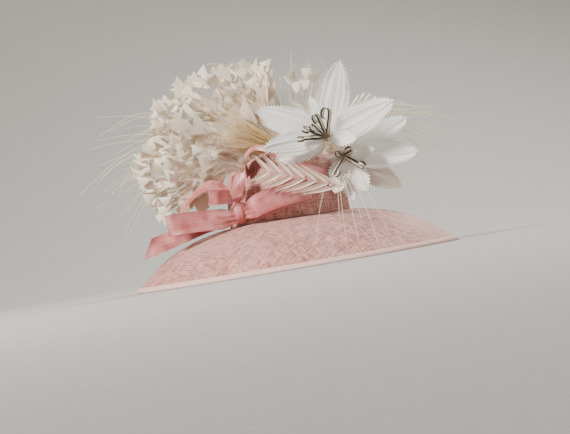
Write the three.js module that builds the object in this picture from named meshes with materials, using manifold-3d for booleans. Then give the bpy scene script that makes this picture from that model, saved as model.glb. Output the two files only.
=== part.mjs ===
// A church hat of woven straw with ribbon, cloth flowers and feathers.
// It stands on its rim at z = 0, its front is -Y and the wearer's right is -X. Sizes are in millimetres.
import * as THREE from "three";
import { mergeVertices } from "three/addons/utils/BufferGeometryUtils.js";
import Module from "manifold-3d";

const wasm = await Module();
wasm.setup();

// Driving sizes.
const gap = 0.3;
const brim = { radius: 240, depth: 72, bell: 3.2, wall: 1.6, foot: 2.4, sides: 48 };
const crown = { width: 170, length: 200, height: 100, wall: 1.6, sides: 32 };
const binding = { outerLeg: 5, innerLeg: 13, wall: 0.9, sole: 2.2 };
const band = { height: 24, drop: 6, wall: 1 };
const ribbon = { width: 30, wall: 0.9 };
const knot = { width: 26, depth: 26, height: 34 };
const petal = { length: 105, width: 46, wall: 1, neck: 5, layer: 1.9, fold: 0.05 };
const heart = { foot: 5, front: 9, sides: 10 };
const stamen = { length: 45, width: 7, wall: 0.7, curl: 6.5, post: 4 };
const tube = { radius: 2.6, length: 24, stem: 1.2, root: 8 };
const quill = { width: 1.6, wall: 1, tipLength: 19, tipWidth: 17 };
const plume = { reach: 245, head: 9 };
const brush = { length: 115, width: 2.2, head: 8 };
const feather = { length: 120, width: 30, wall: 0.8 };
const chevron = { length: 112, barb: 58, width: 3.4, spine: 3, wall: 0.8 };
const wisp = { width: 1.2, wall: 1, head: 6 };

// The trimming is laid out as seen from the hat's right front, which is turned this far from its front.
const trimTurn = THREE.MathUtils.degToRad(-37);

// Colours from the photo.
const straw = { color: 0xd9a79c, roughness: 0.85 };
const bound = { color: 0xe7bdb5, roughness: 0.7 };
const satin = { color: 0xe0a2a0, roughness: 0.4 };
const dark = { color: 0x4a332c, roughness: 0.7 };
const white = { color: 0xf2efe8, roughness: 0.75 };
const cream = { color: 0xe4d8c6, roughness: 0.8 };
const yellow = { color: 0xd6c193, roughness: 0.8 };
const blush = { color: 0xe3c5b8, roughness: 0.85 };

// A repeatable spread of values from 0 to 1.
function vary(n) {
  const s = Math.sin(n * 12.9898) * 43758.5453;
  return s - Math.floor(s);
}

// Surfaces and solids.

// The closed wall of even thickness about a grid of points: rows run along, the points of a row across.
// An around wall joins its last row to its first, and with an apex each row ends in one shared point.
function wallOf(rows, thickness, { around = false, apex = false } = {}) {
  const n = rows.length;
  const m = rows[0].length;
  const row = (i) => (around ? rows[(i + n) % n] : rows[Math.min(Math.max(i, 0), n - 1)]);
  const points = [];
  rows.forEach((line, i) =>
    line.forEach((p, j) => {
      const along = row(i + 1)[j].clone().sub(row(i - 1)[j]);
      const across = line[Math.min(j + 1, m - 1)].clone().sub(line[Math.max(j - 1, 0)]);
      const atApex = apex && j === m - 1;
      const normal = atApex ? new THREE.Vector3(0, 0, 1) : along.cross(across).normalize();
      for (const side of [0.5, -0.5]) points.push(p.clone().addScaledVector(normal, side * thickness));
    }),
  );
  const at = (i, j, side) => (((around ? i % n : i) * m + j) * 2 + side);
  const faces = [];
  const quad = (a, b, c, d) => faces.push(a, b, c, a, c, d);
  const cells = around ? n : n - 1;
  for (let i = 0; i < cells; i++) {
    for (let j = 0; j < m - 1; j++) {
      quad(at(i, j, 0), at(i + 1, j, 0), at(i + 1, j + 1, 0), at(i, j + 1, 0));
      quad(at(i, j + 1, 1), at(i + 1, j + 1, 1), at(i + 1, j, 1), at(i, j, 1));
    }
    quad(at(i + 1, 0, 0), at(i, 0, 0), at(i, 0, 1), at(i + 1, 0, 1));
    if (!apex) quad(at(i, m - 1, 0), at(i + 1, m - 1, 0), at(i + 1, m - 1, 1), at(i, m - 1, 1));
  }
  if (!around)
    for (let j = 0; j < m - 1; j++) {
      quad(at(0, j, 0), at(0, j + 1, 0), at(0, j + 1, 1), at(0, j, 1));
      quad(at(n - 1, j + 1, 0), at(n - 1, j, 0), at(n - 1, j, 1), at(n - 1, j + 1, 1));
    }
  return geometryFrom(points, faces);
}

// A closed ring swept from a section, where section(i) gives its corners at side i of n.
function ringOf(n, section) {
  const rows = Array.from({ length: n }, (_, i) => section(i));
  const m = rows[0].length;
  const faces = [];
  for (let i = 0; i < n; i++)
    for (let j = 0; j < m; j++) {
      const [a, b] = [i * m + j, ((i + 1) % n) * m + j];
      const [c, d] = [((i + 1) % n) * m + ((j + 1) % m), i * m + ((j + 1) % m)];
      faces.push(a, b, c, a, c, d);
    }
  return geometryFrom(rows.flat(), faces);
}

// Shared corners are merged, and a face that has lost its area at an apex is dropped.
function geometryFrom(points, faces) {
  const raw = new THREE.BufferGeometry().setFromPoints(points).setIndex(faces);
  const merged = mergeVertices(raw, 1e-4);
  const index = merged.index.array;
  const kept = [];
  for (let f = 0; f < index.length; f += 3) {
    const [a, b, c] = [index[f], index[f + 1], index[f + 2]];
    if (a !== b && b !== c && a !== c) kept.push(a, b, c);
  }
  return merged.setIndex(kept);
}

// The solid inside a closed geometry, for joining and cutting, and back again.
function solidOf(geometry) {
  const bare = geometry.clone();
  bare.deleteAttribute("normal");
  bare.deleteAttribute("uv");
  const merged = mergeVertices(bare, 1e-4);
  const vertProperties = new Float32Array(merged.attributes.position.array);
  const triVerts = new Uint32Array(merged.index.array);
  return new wasm.Manifold(new wasm.Mesh({ numProp: 3, vertProperties, triVerts }));
}

function geometryOf(solid) {
  const { vertProperties, triVerts } = solid.getMesh();
  return new THREE.BufferGeometry()
    .setAttribute("position", new THREE.BufferAttribute(vertProperties, 3))
    .setIndex(new THREE.BufferAttribute(triVerts, 1));
}

function joined(geometries) {
  return geometryOf(geometries.map(solidOf).reduce((a, b) => a.add(b)));
}

function cut(geometry, ...tools) {
  return geometryOf(tools.map(solidOf).reduce((a, b) => a.subtract(b), solidOf(geometry)));
}

// An egg-shaped body with its half sizes, at a place.
function egg(place, halfX, halfY, halfZ) {
  return new THREE.SphereGeometry(1, 7, 5).scale(halfX, halfY, halfZ).translate(place.x, place.y, place.z);
}

// A flat strip along stations of { point, width, side }, where side is the direction of its width.
function strip(stations, thickness) {
  const rows = stations.map(({ point, width, side }) => [
    point.clone().addScaledVector(side, -width / 2),
    point.clone().addScaledVector(side, width / 2),
  ]);
  return wallOf(rows, thickness);
}

// A straight rod through points in line, with a radius at each.
function rod(points, radii, sides) {
  const along = points.at(-1).clone().sub(points[0]).normalize();
  const turn = new THREE.Quaternion().setFromUnitVectors(new THREE.Vector3(0, 0, 1), along);
  const corners = [];
  points.forEach((point, i) => {
    for (let k = 0; k < sides; k++) {
      const corner = polar(radii[i], turnOf(k, sides), 0);
      corners.push(corner.applyQuaternion(turn).add(point));
    }
  });
  const faces = [];
  const last = (points.length - 1) * sides;
  for (let k = 0; k < sides; k++) {
    const next = (k + 1) % sides;
    for (let row = 0; row < last; row += sides)
      faces.push(row + k, row + next, row + sides + next, row + k, row + sides + next, row + sides + k);
    if (k > 0 && next > 0) faces.push(0, next, k, last, last + k, last + next);
  }
  return geometryFrom(corners, faces);
}

// Points spread evenly over a smooth curve through the given ones.
function smooth(points, count) {
  return new THREE.CatmullRomCurve3(points, false, "centripetal").getSpacedPoints(count);
}

// The straw body.

const brimZ = (r) => brim.foot + brim.depth * (1 - (r / brim.radius) ** brim.bell);
const brimSlope = (r) => (-brim.depth * brim.bell * (r / brim.radius) ** (brim.bell - 1)) / brim.radius;

// A point off the brim's middle surface, in the plane of a radius: { r, z }.
function offBrim(r, outward, down = 0) {
  const slope = brimSlope(r);
  const size = Math.hypot(1, slope);
  return {
    r: r + (-slope * outward + down) / size,
    z: brimZ(r) + (outward + slope * down) / size,
  };
}

const turnOf = (i, n) => (2 * Math.PI * i) / n;
const polar = (r, angle, z) => new THREE.Vector3(r * Math.cos(angle), r * Math.sin(angle), z);

// The radius of the crown's oval at an angle, where shrink is taken off both half sizes.
function ovalRadius(angle, shrink) {
  const a = crown.width / 2 - shrink;
  const b = crown.length / 2 - shrink;
  return (a * b) / Math.hypot(b * Math.cos(angle), a * Math.sin(angle));
}

function brimShape() {
  const boundFrom = brim.radius - binding.innerLeg / Math.hypot(1, brimSlope(brim.radius));
  const shares = [0, 0.22, 0.44, 0.63, 0.79, 0.91];
  const rows = Array.from({ length: brim.sides }, (_, i) => {
    const angle = turnOf(i, brim.sides);
    const inner = ovalRadius(angle, crown.wall);
    const radii = shares.map((s) => inner + s * (boundFrom - inner));
    return [brim.radius, boundFrom, ...radii.reverse()].map((r) => polar(r, angle, brimZ(r)));
  });
  return wallOf(rows, brim.wall, { around: true });
}

// The folded strip that holds the brim's edge, with a flat sole that the hat stands on.
function bindingShape() {
  const near = brim.wall / 2 + gap;
  const far = near + binding.wall;
  const lean = Math.hypot(1, brimSlope(brim.radius));
  const outerTop = brim.radius - binding.outerLeg / lean;
  const innerTop = brim.radius - binding.innerLeg / lean;
  const section = [
    offBrim(outerTop, near),
    offBrim(brim.radius, near, gap),
    offBrim(brim.radius, -near, gap),
    offBrim(innerTop, -near),
    offBrim(innerTop, -far),
    offBrim(brim.radius, -far),
    { r: brim.radius - gap, z: 0 },
    { r: brim.radius + binding.sole, z: 0 },
    offBrim(brim.radius, far),
    offBrim(outerTop, far),
  ];
  return ringOf(brim.sides, (i) => section.map(({ r, z }) => polar(r, turnOf(i, brim.sides), z)));
}

// The crown's rings: its oval shrinks by share while it rises by share of its height.
const crownRings = [
  { oval: 1, rise: 0 },
  { oval: 0.985, rise: 0.3 },
  { oval: 0.955, rise: 0.56 },
  { oval: 0.9, rise: 0.74 },
  { oval: 0.8, rise: 0.87 },
  { oval: 0.62, rise: 0.955 },
  { oval: 0.35, rise: 0.99 },
  { oval: 0, rise: 1 },
];
const crownTop = brimZ(crown.width / 2) + crown.height;

// One line of the crown from its foot to its top at an angle, where grow moves it outward.
function crownLine(angle, grow) {
  const footRadius = ovalRadius(angle, crown.wall / 2);
  const foot = brimZ(footRadius) + brim.wall / 2 + gap;
  return crownRings.map(({ oval, rise }) => {
    const z = foot + rise * (crownTop - foot) + (oval === 0 ? grow : grow * rise);
    return polar(oval === 0 ? 0 : footRadius * oval + grow, angle, z);
  });
}

function crownShape() {
  const rows = Array.from({ length: crown.sides }, (_, i) => crownLine(turnOf(i, crown.sides), 0));
  return wallOf(rows, crown.wall, { around: true, apex: true });
}

// The crown without its hollow, grown by a gap, which cuts the seat of whatever is sewn to it.
function crownBlock() {
  const rows = Array.from({ length: crown.sides }, (_, i) => {
    const line = crownLine(turnOf(i, crown.sides), crown.wall / 2 + gap);
    const foot = line[0].clone().setZ(0);
    return [new THREE.Vector3(0, 0, 0), foot, ...line];
  });
  const m = rows[0].length;
  const faces = [];
  for (let i = 0; i < crown.sides; i++)
    for (let j = 0; j < m - 1; j++) {
      const [a, b] = [i * m + j, ((i + 1) % crown.sides) * m + j];
      faces.push(a, b, b + 1, a, b + 1, a + 1);
    }
  return geometryFrom(rows.flat(), faces).rotateZ(-trimTurn);
}

function bandShape() {
  const rows = Array.from({ length: crown.sides }, (_, i) => {
    const angle = turnOf(i, crown.sides);
    const r = ovalRadius(angle, crown.wall + gap + band.wall / 2 + gap * 2);
    const low = brimZ(r) - band.drop;
    return [polar(r, angle, low), polar(r * 0.975, angle, low + band.height)];
  });
  return wallOf(rows, band.wall, { around: true });
}

// The trimming. A place is across to the viewer's right, away from the viewer and up from the brim,
// as shares of the crown's half width and of its height.
const crownHalf = (crown.width + crown.length) / 4;
const joinZ = brimZ(crown.width / 2);

const at = ({ across, away, up }) =>
  new THREE.Vector3(across * crownHalf, away * crownHalf, joinZ + up * crown.height);

const seat = crownBlock();

// Ribbon: each loop leaves the knot, turns and comes back. Its width stands along lean.
const knotPlace = { across: -0.77, away: -0.68, up: 0.2 };
const ribbons = [
  {
    name: "ribbon_low_loop",
    lean: [0, 0, 1],
    path: [
      { across: -0.8, away: -0.76, up: 0.15 },
      { across: -1.04, away: -0.84, up: 0.15 },
      { across: -1.4, away: -0.95, up: 0.17 },
      { across: -1.8, away: -0.98, up: 0.18 },
      { across: -1.93, away: -0.84, up: 0.18 },
      { across: -1.78, away: -0.7, up: 0.18 },
      { across: -1.4, away: -0.68, up: 0.17 },
      { across: -1.04, away: -0.68, up: 0.15 },
      { across: -0.8, away: -0.66, up: 0.15 },
    ],
  },
  {
    name: "ribbon_tail",
    lean: [0, 0, 1],
    share: 0.85,
    slant: 17,
    path: [
      { across: -0.82, away: -0.58, up: 0.16 },
      { across: -1.06, away: -0.55, up: 0.15 },
      { across: -1.35, away: -0.54, up: 0.11 },
      { across: -1.7, away: -0.54, up: 0.03 },
      { across: -2.0, away: -0.54, up: -0.04 },
      { across: -2.3, away: -0.56, up: -0.1 },
    ],
  },
  {
    name: "ribbon_arch_loop",
    lean: [0.1, 0.85, 0.5],
    path: [
      { across: -0.8, away: -0.56, up: 0.36 },
      { across: -0.92, away: -0.44, up: 0.53 },
      { across: -1.04, away: -0.38, up: 0.63 },
      { across: -1.2, away: -0.34, up: 0.68 },
      { across: -1.46, away: -0.34, up: 0.56 },
      { across: -1.72, away: -0.32, up: 0.32 },
      { across: -1.7, away: -0.3, up: 0.17 },
      { across: -1.4, away: -0.3, up: 0.17 },
      { across: -1.06, away: -0.3, up: 0.22 },
    ],
  },
  {
    name: "ribbon_inner_loop",
    lean: [0.1, -0.35, 0.9],
    share: 0.75,
    path: [
      { across: -0.8, away: -0.8, up: 0.43 },
      { across: -0.94, away: -0.88, up: 0.46 },
      { across: -1.06, away: -0.96, up: 0.46 },
      { across: -1.2, away: -0.92, up: 0.48 },
      { across: -1.2, away: -0.82, up: 0.48 },
      { across: -1.08, away: -0.74, up: 0.48 },
      { across: -0.97, away: -0.7, up: 0.47 },
    ],
  },
  {
    name: "ribbon_pointed_loop",
    lean: [0.87, -0.45, 0.1],
    share: 0.8,
    path: [
      { across: -0.75, away: -0.72, up: 0.36 },
      { across: -0.73, away: -0.82, up: 0.46 },
      { across: -0.71, away: -0.86, up: 0.6 },
      { across: -0.68, away: -0.9, up: 0.74 },
      { across: -0.68, away: -0.97, up: 0.74 },
      { across: -0.72, away: -1.02, up: 0.58 },
      { across: -0.76, away: -0.98, up: 0.42 },
    ],
  },
  {
    name: "ribbon_wide_loop",
    lean: [0, -0.15, 1],
    share: 1.1,
    path: [
      { across: -0.7, away: -0.76, up: 0.2 },
      { across: -0.56, away: -0.98, up: 0.23 },
      { across: -0.3, away: -1.2, up: 0.3 },
      { across: 0.1, away: -1.3, up: 0.36 },
      { across: 0.36, away: -1.24, up: 0.38 },
      { across: 0.32, away: -1.13, up: 0.37 },
      { across: 0.0, away: -1.12, up: 0.32 },
      { across: -0.4, away: -1.02, up: 0.24 },
      { across: -0.66, away: -0.72, up: 0.2 },
    ],
  },
  {
    name: "ribbon_crown_loop",
    lean: [0.1, 0.9, 0.35],
    path: [
      { across: -0.54, away: -0.72, up: 0.7 },
      { across: -0.52, away: -0.78, up: 0.98 },
      { across: -0.36, away: -0.8, up: 1.09 },
      { across: -0.14, away: -0.82, up: 1.0 },
      { across: -0.08, away: -0.8, up: 0.74 },
    ],
  },
  {
    name: "ribbon_side_loop",
    lean: [0.15, 0.2, 1],
    share: 0.9,
    path: [
      { across: 0.0, away: -0.88, up: 0.62 },
      { across: 0.25, away: -0.98, up: 0.64 },
      { across: 0.5, away: -0.96, up: 0.56 },
      { across: 0.66, away: -0.86, up: 0.44 },
      { across: 0.62, away: -0.74, up: 0.42 },
    ],
  },
];

function ribbonShape({ lean, path, share = 1, slant = 0 }) {
  const points = smooth(path.map(at), 12);
  const side = new THREE.Vector3(...lean).normalize();
  const width = ribbon.width * share;
  const shift = (p, share) => p.clone().addScaledVector(side, share * width);
  const rows = points.map((p) => [shift(p, -0.5), shift(p, 0.5)]);
  const end = points.at(-1).clone().sub(points.at(-2)).normalize();
  rows.at(-1)[0].addScaledVector(end, slant / 2);
  rows.at(-1)[1].addScaledVector(end, -slant / 2);
  return wallOf(rows, ribbon.wall);
}

function knotShape(extra) {
  return egg(at(knotPlace), knot.width / 2 + extra, knot.depth / 2 + extra, knot.height / 2 + extra);
}

// Cloth flowers: a petal's angle is measured from the viewer's right. Its layer counts from the back,
// so that two petals which cross lie on different layers.
const flowers = [
  {
    name: "flower_a",
    place: { across: 0.78, away: -0.98, up: 1.06 },
    root: { across: 0.5, away: -0.6, up: 0.8 },
    cup: 0.12,
    petals: [
      { name: "leaf", angle: 124, length: 0.74, width: 0.3, layer: 0 },
      { name: "small_top", angle: 103, length: 0.6, width: 0.5, layer: 1 },
      { name: "back_left", angle: 196, length: 0.78, width: 0.75, layer: 0 },
      { name: "top", angle: 71, length: 1.05, width: 1, layer: 2 },
      { name: "left", angle: 150, length: 1.03, width: 0.95, layer: 3 },
      { name: "right", angle: 19, length: 1.03, width: 0.95, layer: 3 },
      { name: "low_left", angle: 181, length: 0.88, width: 0.8, layer: 4 },
      { name: "front", angle: -14, length: 0.4, width: 0.5, layer: 4 },
    ],
  },
  {
    name: "flower_b",
    place: { across: 0.99, away: -0.7, up: 0.76 },
    root: { across: 0.6, away: -0.4, up: 0.68 },
    cup: 0.04,
    petals: [
      { name: "sheer", angle: -37, length: 0.93, width: 0.8, layer: 0 },
      { name: "upper_right", angle: 22, length: 1.04, width: 0.95, layer: 1 },
      { name: "down", angle: -86, length: 0.63, width: 0.7, layer: 1 },
      { name: "down_right", angle: -66, length: 0.6, width: 0.8, layer: 2 },
      { name: "right", angle: -6, length: 1.04, width: 0.9, layer: 3 },
      { name: "down_left", angle: -112, length: 0.53, width: 0.7, layer: 3 },
      { name: "front", angle: 2, length: 0.43, width: 0.45, layer: 4 },
    ],
  },
];

// How wide a petal is along its length, as a share of its full width.
const petalWidth = (t) => Math.max(0.1, Math.sin(Math.PI * (0.07 + 0.9 * t ** 0.9)) ** 0.85);

function petalShape(flower, { angle, length, width, layer }) {
  const centre = at(flower.place);
  const turn = THREE.MathUtils.degToRad(angle);
  const along = new THREE.Vector3(Math.cos(turn), 0, Math.sin(turn));
  const side = new THREE.Vector3(-Math.sin(turn), 0, Math.cos(turn));
  const full = length * petal.length;
  const lift = gap + petal.wall / 2 + layer * petal.layer;
  const steps = 6;
  const rows = [];
  for (let i = 0; i <= steps; i++) {
    const t = i / steps;
    const half = (petalWidth(t) * width * petal.width) / 2;
    const out = petal.neck + t * (full - petal.neck);
    rows.push(
      [-1, 0, 1].map((s) => {
        const bowl = (flower.cup * (out * out + (s * half) ** 2)) / petal.length;
        const fold = petal.fold * Math.abs(s) * half * t;
        const forward = new THREE.Vector3(0, -(lift + bowl + fold), 0);
        return centre.clone().addScaledVector(along, out).addScaledVector(side, s * half).add(forward);
      }),
    );
  }
  return wallOf(rows, petal.wall);
}

// The heart of a flower: a cone from the crown to the back of its petals.
function heartShape(flower) {
  const front = at(flower.place);
  const root = at(flower.root);
  const points = [];
  for (let i = 0; i < heart.sides; i++) {
    const turn = turnOf(i, heart.sides);
    const across = new THREE.Vector3(Math.cos(turn), 0, Math.sin(turn));
    points.push(root, root.clone().addScaledVector(across, heart.foot));
    points.push(front.clone().addScaledVector(across, heart.front), front);
  }
  const faces = [];
  for (let i = 0; i < heart.sides; i++)
    for (let j = 0; j < 3; j++) {
      const [a, b] = [i * 4 + j, ((i + 1) % heart.sides) * 4 + j];
      faces.push(a, b, b + 1, a, b + 1, a + 1);
    }
  return cut(geometryFrom(points, faces), seat);
}

// Stamens: narrow strips from the flower's middle that curl over at their ends.
const stamens = [
  {
    name: "stamens_a",
    flower: 0,
    strips: [
      { angle: 74, length: 0.85 },
      { angle: 105, length: 0.72 },
      { angle: 150, length: 0.8 },
      { angle: 175, length: 1 },
      { angle: 128, length: 0.55 },
    ],
  },
  {
    name: "stamens_b",
    flower: 1,
    strips: [
      { angle: 15, length: 0.36 },
      { angle: -130, length: 0.75 },
      { angle: -40, length: 0.8 },
      { angle: 120, length: 0.3 },
    ],
  },
];

// The strips leave a small post that fills the hole between the petals.
function stamenShape({ flower, strips }) {
  const { place, petals } = flowers[flower];
  const layers = Math.max(...petals.map(({ layer }) => layer)) + 1;
  const depth = gap + layers * petal.layer;
  const toViewer = new THREE.Vector3(0, -1, 0);
  const foot = at(place).addScaledVector(toViewer, gap);
  const front = foot.clone().addScaledVector(toViewer, depth);
  const post = rod([foot, front], [stamen.post, stamen.post], 6);
  const made = strips.map(({ angle, length }) => {
    const turn = THREE.MathUtils.degToRad(angle);
    const along = new THREE.Vector3(Math.cos(turn), 0, Math.sin(turn));
    const side = new THREE.Vector3(-Math.sin(turn), 0, Math.cos(turn));
    const reach = length * stamen.length - stamen.curl;
    const start = front.clone().addScaledVector(along, stamen.post / 2).addScaledVector(toViewer, -stamen.wall);
    const middle = front
      .clone()
      .addScaledVector(along, reach)
      .addScaledVector(toViewer, stamen.curl + reach * 0.15);
    const loop = [-90, -10, 70, 150].map((degrees) => {
      const a = THREE.MathUtils.degToRad(degrees);
      return middle
        .clone()
        .addScaledVector(along, stamen.curl * Math.cos(a))
        .addScaledVector(toViewer, stamen.curl * Math.sin(a));
    });
    return strip([start, ...loop].map((point) => ({ point, width: stamen.width, side })), stamen.wall);
  });
  return joined([post, ...made]);
}

// Blunt tubular tips on thin stems, sewn to the crown's right shoulder.
const tubeTips = [
  { across: 1.42, up: 1.62 },
  { across: 1.52, up: 1.64 },
  { across: 1.61, up: 1.62 },
  { across: 1.7, up: 1.56 },
  { across: 1.78, up: 1.5 },
  { across: 1.84, up: 1.42 },
];
const tubeRoot = { across: 0.74, away: -0.1, up: 0.95 };
const tubeAway = -0.2;

function tubesShape() {
  const root = at(tubeRoot);
  const middle = (tubeTips.length - 1) / 2;
  const rods = tubeTips.map(({ across, up }, i) => {
    const tip = at({ across, away: tubeAway, up });
    const foot = root.clone().add(new THREE.Vector3(0, ((i - middle) / middle) * tube.root * 0.5, 0));
    const along = foot.clone().sub(tip).normalize();
    const start = foot.clone().addScaledVector(along, -tube.root * 0.5);
    const shoulder = tip.clone().addScaledVector(along, tube.length);
    const collar = shoulder.clone().addScaledVector(along, tube.stem);
    return rod([start, collar, shoulder, tip], [tube.stem, tube.stem, tube.radius, tube.radius], 5);
  });
  return cut(joined([egg(root, tube.root, tube.root, tube.root), ...rods]), seat);
}

// The plume's outline: its reach about its centre at angles from the viewer's right, in degrees.
const plumeCentre = { across: -0.11, away: 0.3, up: 1.04 };
const plumeOutline = [
  { angle: 50, reach: 0.6 },
  { angle: 72, reach: 0.54 },
  { angle: 83, reach: 0.55 },
  { angle: 104, reach: 0.62 },
  { angle: 117, reach: 0.65 },
  { angle: 130, reach: 0.74 },
  { angle: 154, reach: 0.79 },
  { angle: 165, reach: 0.77 },
  { angle: 178, reach: 0.87 },
  { angle: 195, reach: 0.83 },
  { angle: 207, reach: 0.83 },
];

// Fans of stripped quills that end in a cut triangle. Each fills a part of the outline from its own head.
const fans = [
  {
    name: "plume_low",
    head: { across: -0.6, away: 0.04, up: 0.98 },
    count: 13,
    angles: [188, 204],
    inner: 0.7,
    aways: [0.0, 0.5],
  },
  {
    name: "plume_left",
    head: { across: -0.2, away: 0.34, up: 1.04 },
    count: 21,
    angles: [150, 184],
    inner: 0.45,
    aways: [-0.25, 0.6],
  },
  {
    name: "plume_top",
    head: { across: 0.16, away: 0.4, up: 1.04 },
    count: 18,
    angles: [84, 146],
    inner: 0.45,
    aways: [0.1, 0.9],
  },
  {
    name: "plume_back",
    head: { across: 0.5, away: 0.2, up: 1.0 },
    count: 3,
    angles: [52, 70],
    inner: 0.7,
    aways: [0.1, 0.5],
  },
];

function between([low, high], share) {
  return low + share * (high - low);
}

function plumeReach(angle) {
  const next = Math.max(1, plumeOutline.findIndex((row) => row.angle >= angle));
  const [low, high] = plumeOutline.slice(next - 1, next + 1);
  const share = (angle - low.angle) / (high.angle - low.angle);
  return between([low.reach, high.reach], share) * plume.reach;
}

// A quill from its root to its end, whose cut tip is turned about it by twist.
function quillShape(root, end, twist) {
  const along = end.clone().sub(root).normalize();
  const side = along.clone().cross(new THREE.Vector3(0, 1, 0)).normalize().applyAxisAngle(along, twist);
  const neck = end.clone().addScaledVector(along, -quill.tipLength);
  const start = root.clone().addScaledVector(along, plume.head * quillStart);
  return strip(
    [
      { point: start, width: quill.width, side },
      { point: neck, width: quill.width, side },
      { point: end, width: quill.tipWidth, side },
    ],
    quill.wall,
  );
}

// A quill starts at this share of its head's half size from the middle, and tips turn by up to half of a twist.
const quillStart = 0.5;
const quillTwist = 1.6;

function fanShape(fan, seed) {
  const head = at(fan.head);
  const centre = at(plumeCentre);
  const quills = Array.from({ length: fan.count }, (_, k) => {
    const n = seed * 100 + k;
    const angle = between(fan.angles, (k + 0.5) / fan.count);
    const turn = THREE.MathUtils.degToRad(angle);
    const reach = plumeReach(angle) * between([fan.inner, 1], Math.sqrt(vary(n)));
    const share = vary(n + 37);
    const end = centre.clone().add(new THREE.Vector3(Math.cos(turn), 0, Math.sin(turn)).multiplyScalar(reach));
    end.y = between(fan.aways, share) * crownHalf;
    const root = head.clone().add(new THREE.Vector3(0, (share - 0.5) * plume.head, 0));
    return quillShape(root, end, (vary(n + 71) - 0.5) * quillTwist);
  });
  return cut(joined([egg(head, plume.head, plume.head, plume.head), ...quills]), seat);
}

// The brush of fine quills at the foot of the plume.
const brushPlace = { across: 0.12, away: -0.34, up: 1.0 };
const brushFan = {
  count: 13,
  angles: [138, 172],
  lengths: [0.75, 1],
  aways: [0, -0.22],
  rootShare: 0.7,
  taper: 0.6,
};

function brushShape() {
  const start = at(brushPlace);
  const quills = Array.from({ length: brushFan.count }, (_, k) => {
    const angle = THREE.MathUtils.degToRad(between(brushFan.angles, k / (brushFan.count - 1)));
    const length = brush.length * between(brushFan.lengths, vary(k + 5));
    const away = length * between(brushFan.aways, vary(k + 11));
    const end = start.clone().add(new THREE.Vector3(length * Math.cos(angle), away, length * Math.sin(angle)));
    const side = new THREE.Vector3(-Math.sin(angle), 0, Math.cos(angle));
    const root = start.clone().lerp(end, (brush.head * brushFan.rootShare) / length);
    const stations = [
      { point: root, width: brush.width, side },
      { point: end, width: brush.width * brushFan.taper, side },
    ];
    return strip(stations, brush.width / 2);
  });
  return cut(joined([egg(start, brush.head, brush.head, brush.head), ...quills]), seat);
}

// Soft feathers: each vane bends from its root to its tip.
const softFeathers = [
  { name: "blush_feather_1", root: [-0.48, -0.5, 0.84], tip: [-1.34, -0.84, 0.92], width: 1 },
  { name: "blush_feather_2", root: [-0.42, -0.42, 0.9], tip: [-1.16, -0.8, 1.26], width: 0.9 },
  { name: "blush_feather_3", root: [-0.56, -0.84, 0.8], tip: [-1.06, -1.16, 0.78], width: 0.7 },
];

// The vane's bend and its hollow are shares of the feather's length and of its half width.
const vaneBend = 0.06;
const vaneHollow = 0.2;

function softFeatherShape({ root, tip, width }) {
  const [start, end] = [root, tip].map(([across, away, up]) => at({ across, away, up }));
  const side = new THREE.Vector3(0, 1, 0).cross(end.clone().sub(start)).normalize();
  const steps = 6;
  const rows = [];
  for (let i = 0; i <= steps; i++) {
    const t = i / steps;
    const half = (feather.width * width * Math.max(0.1, Math.sin(Math.PI * (0.05 + 0.9 * t)))) / 2;
    const bend = new THREE.Vector3(0, 0, feather.length * vaneBend * Math.sin(Math.PI * t));
    const spine = start.clone().lerp(end, t).add(bend);
    const point = (s) => {
      const away = spine.y + Math.abs(s) * half * vaneHollow;
      return spine.clone().addScaledVector(side, s * half).setY(away);
    };
    rows.push([-1, 0, 1].map(point));
  }
  return wallOf(rows, feather.wall);
}

// The feather with a fishbone pattern: pairs of barbs sweep back from its spine.
const chevronPlace = { across: 0.84, away: -1.334, up: 0.33 };
const chevronAngle = 159;

// Barbs open from splay by more degrees at the tip, where they are shorter by a share.
const barbs = { pairs: 9, cover: 0.94, splay: 24, opening: 20, shorter: 0.45, taper: 0.6 };

function chevronShape() {
  const start = at(chevronPlace);
  const spine = THREE.MathUtils.degToRad(chevronAngle);
  const direction = (angle) => new THREE.Vector3(Math.cos(angle), 0, Math.sin(angle));
  const made = [];
  for (let k = 0; k < barbs.pairs; k++) {
    const t = k / (barbs.pairs - 1);
    const apex = start.clone().addScaledVector(direction(spine), t * chevron.length * barbs.cover);
    for (const hand of [-1, 1]) {
      const angle = spine + hand * THREE.MathUtils.degToRad(barbs.splay + barbs.opening * t);
      const end = apex.clone().addScaledVector(direction(angle), chevron.barb * (1 - barbs.shorter * t));
      const side = direction(angle + Math.PI / 2);
      const stations = [
        { point: apex, width: chevron.width, side },
        { point: end, width: chevron.width * barbs.taper, side },
      ];
      made.push(strip(stations, chevron.wall));
    }
  }
  const tip = start.clone().addScaledVector(direction(spine), chevron.length);
  const side = direction(spine + Math.PI / 2);
  const ends = [start, tip].map((point) => ({ point, width: chevron.spine, side }));
  return joined([strip(ends, chevron.wall * 1.5), ...made]);
}

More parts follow.
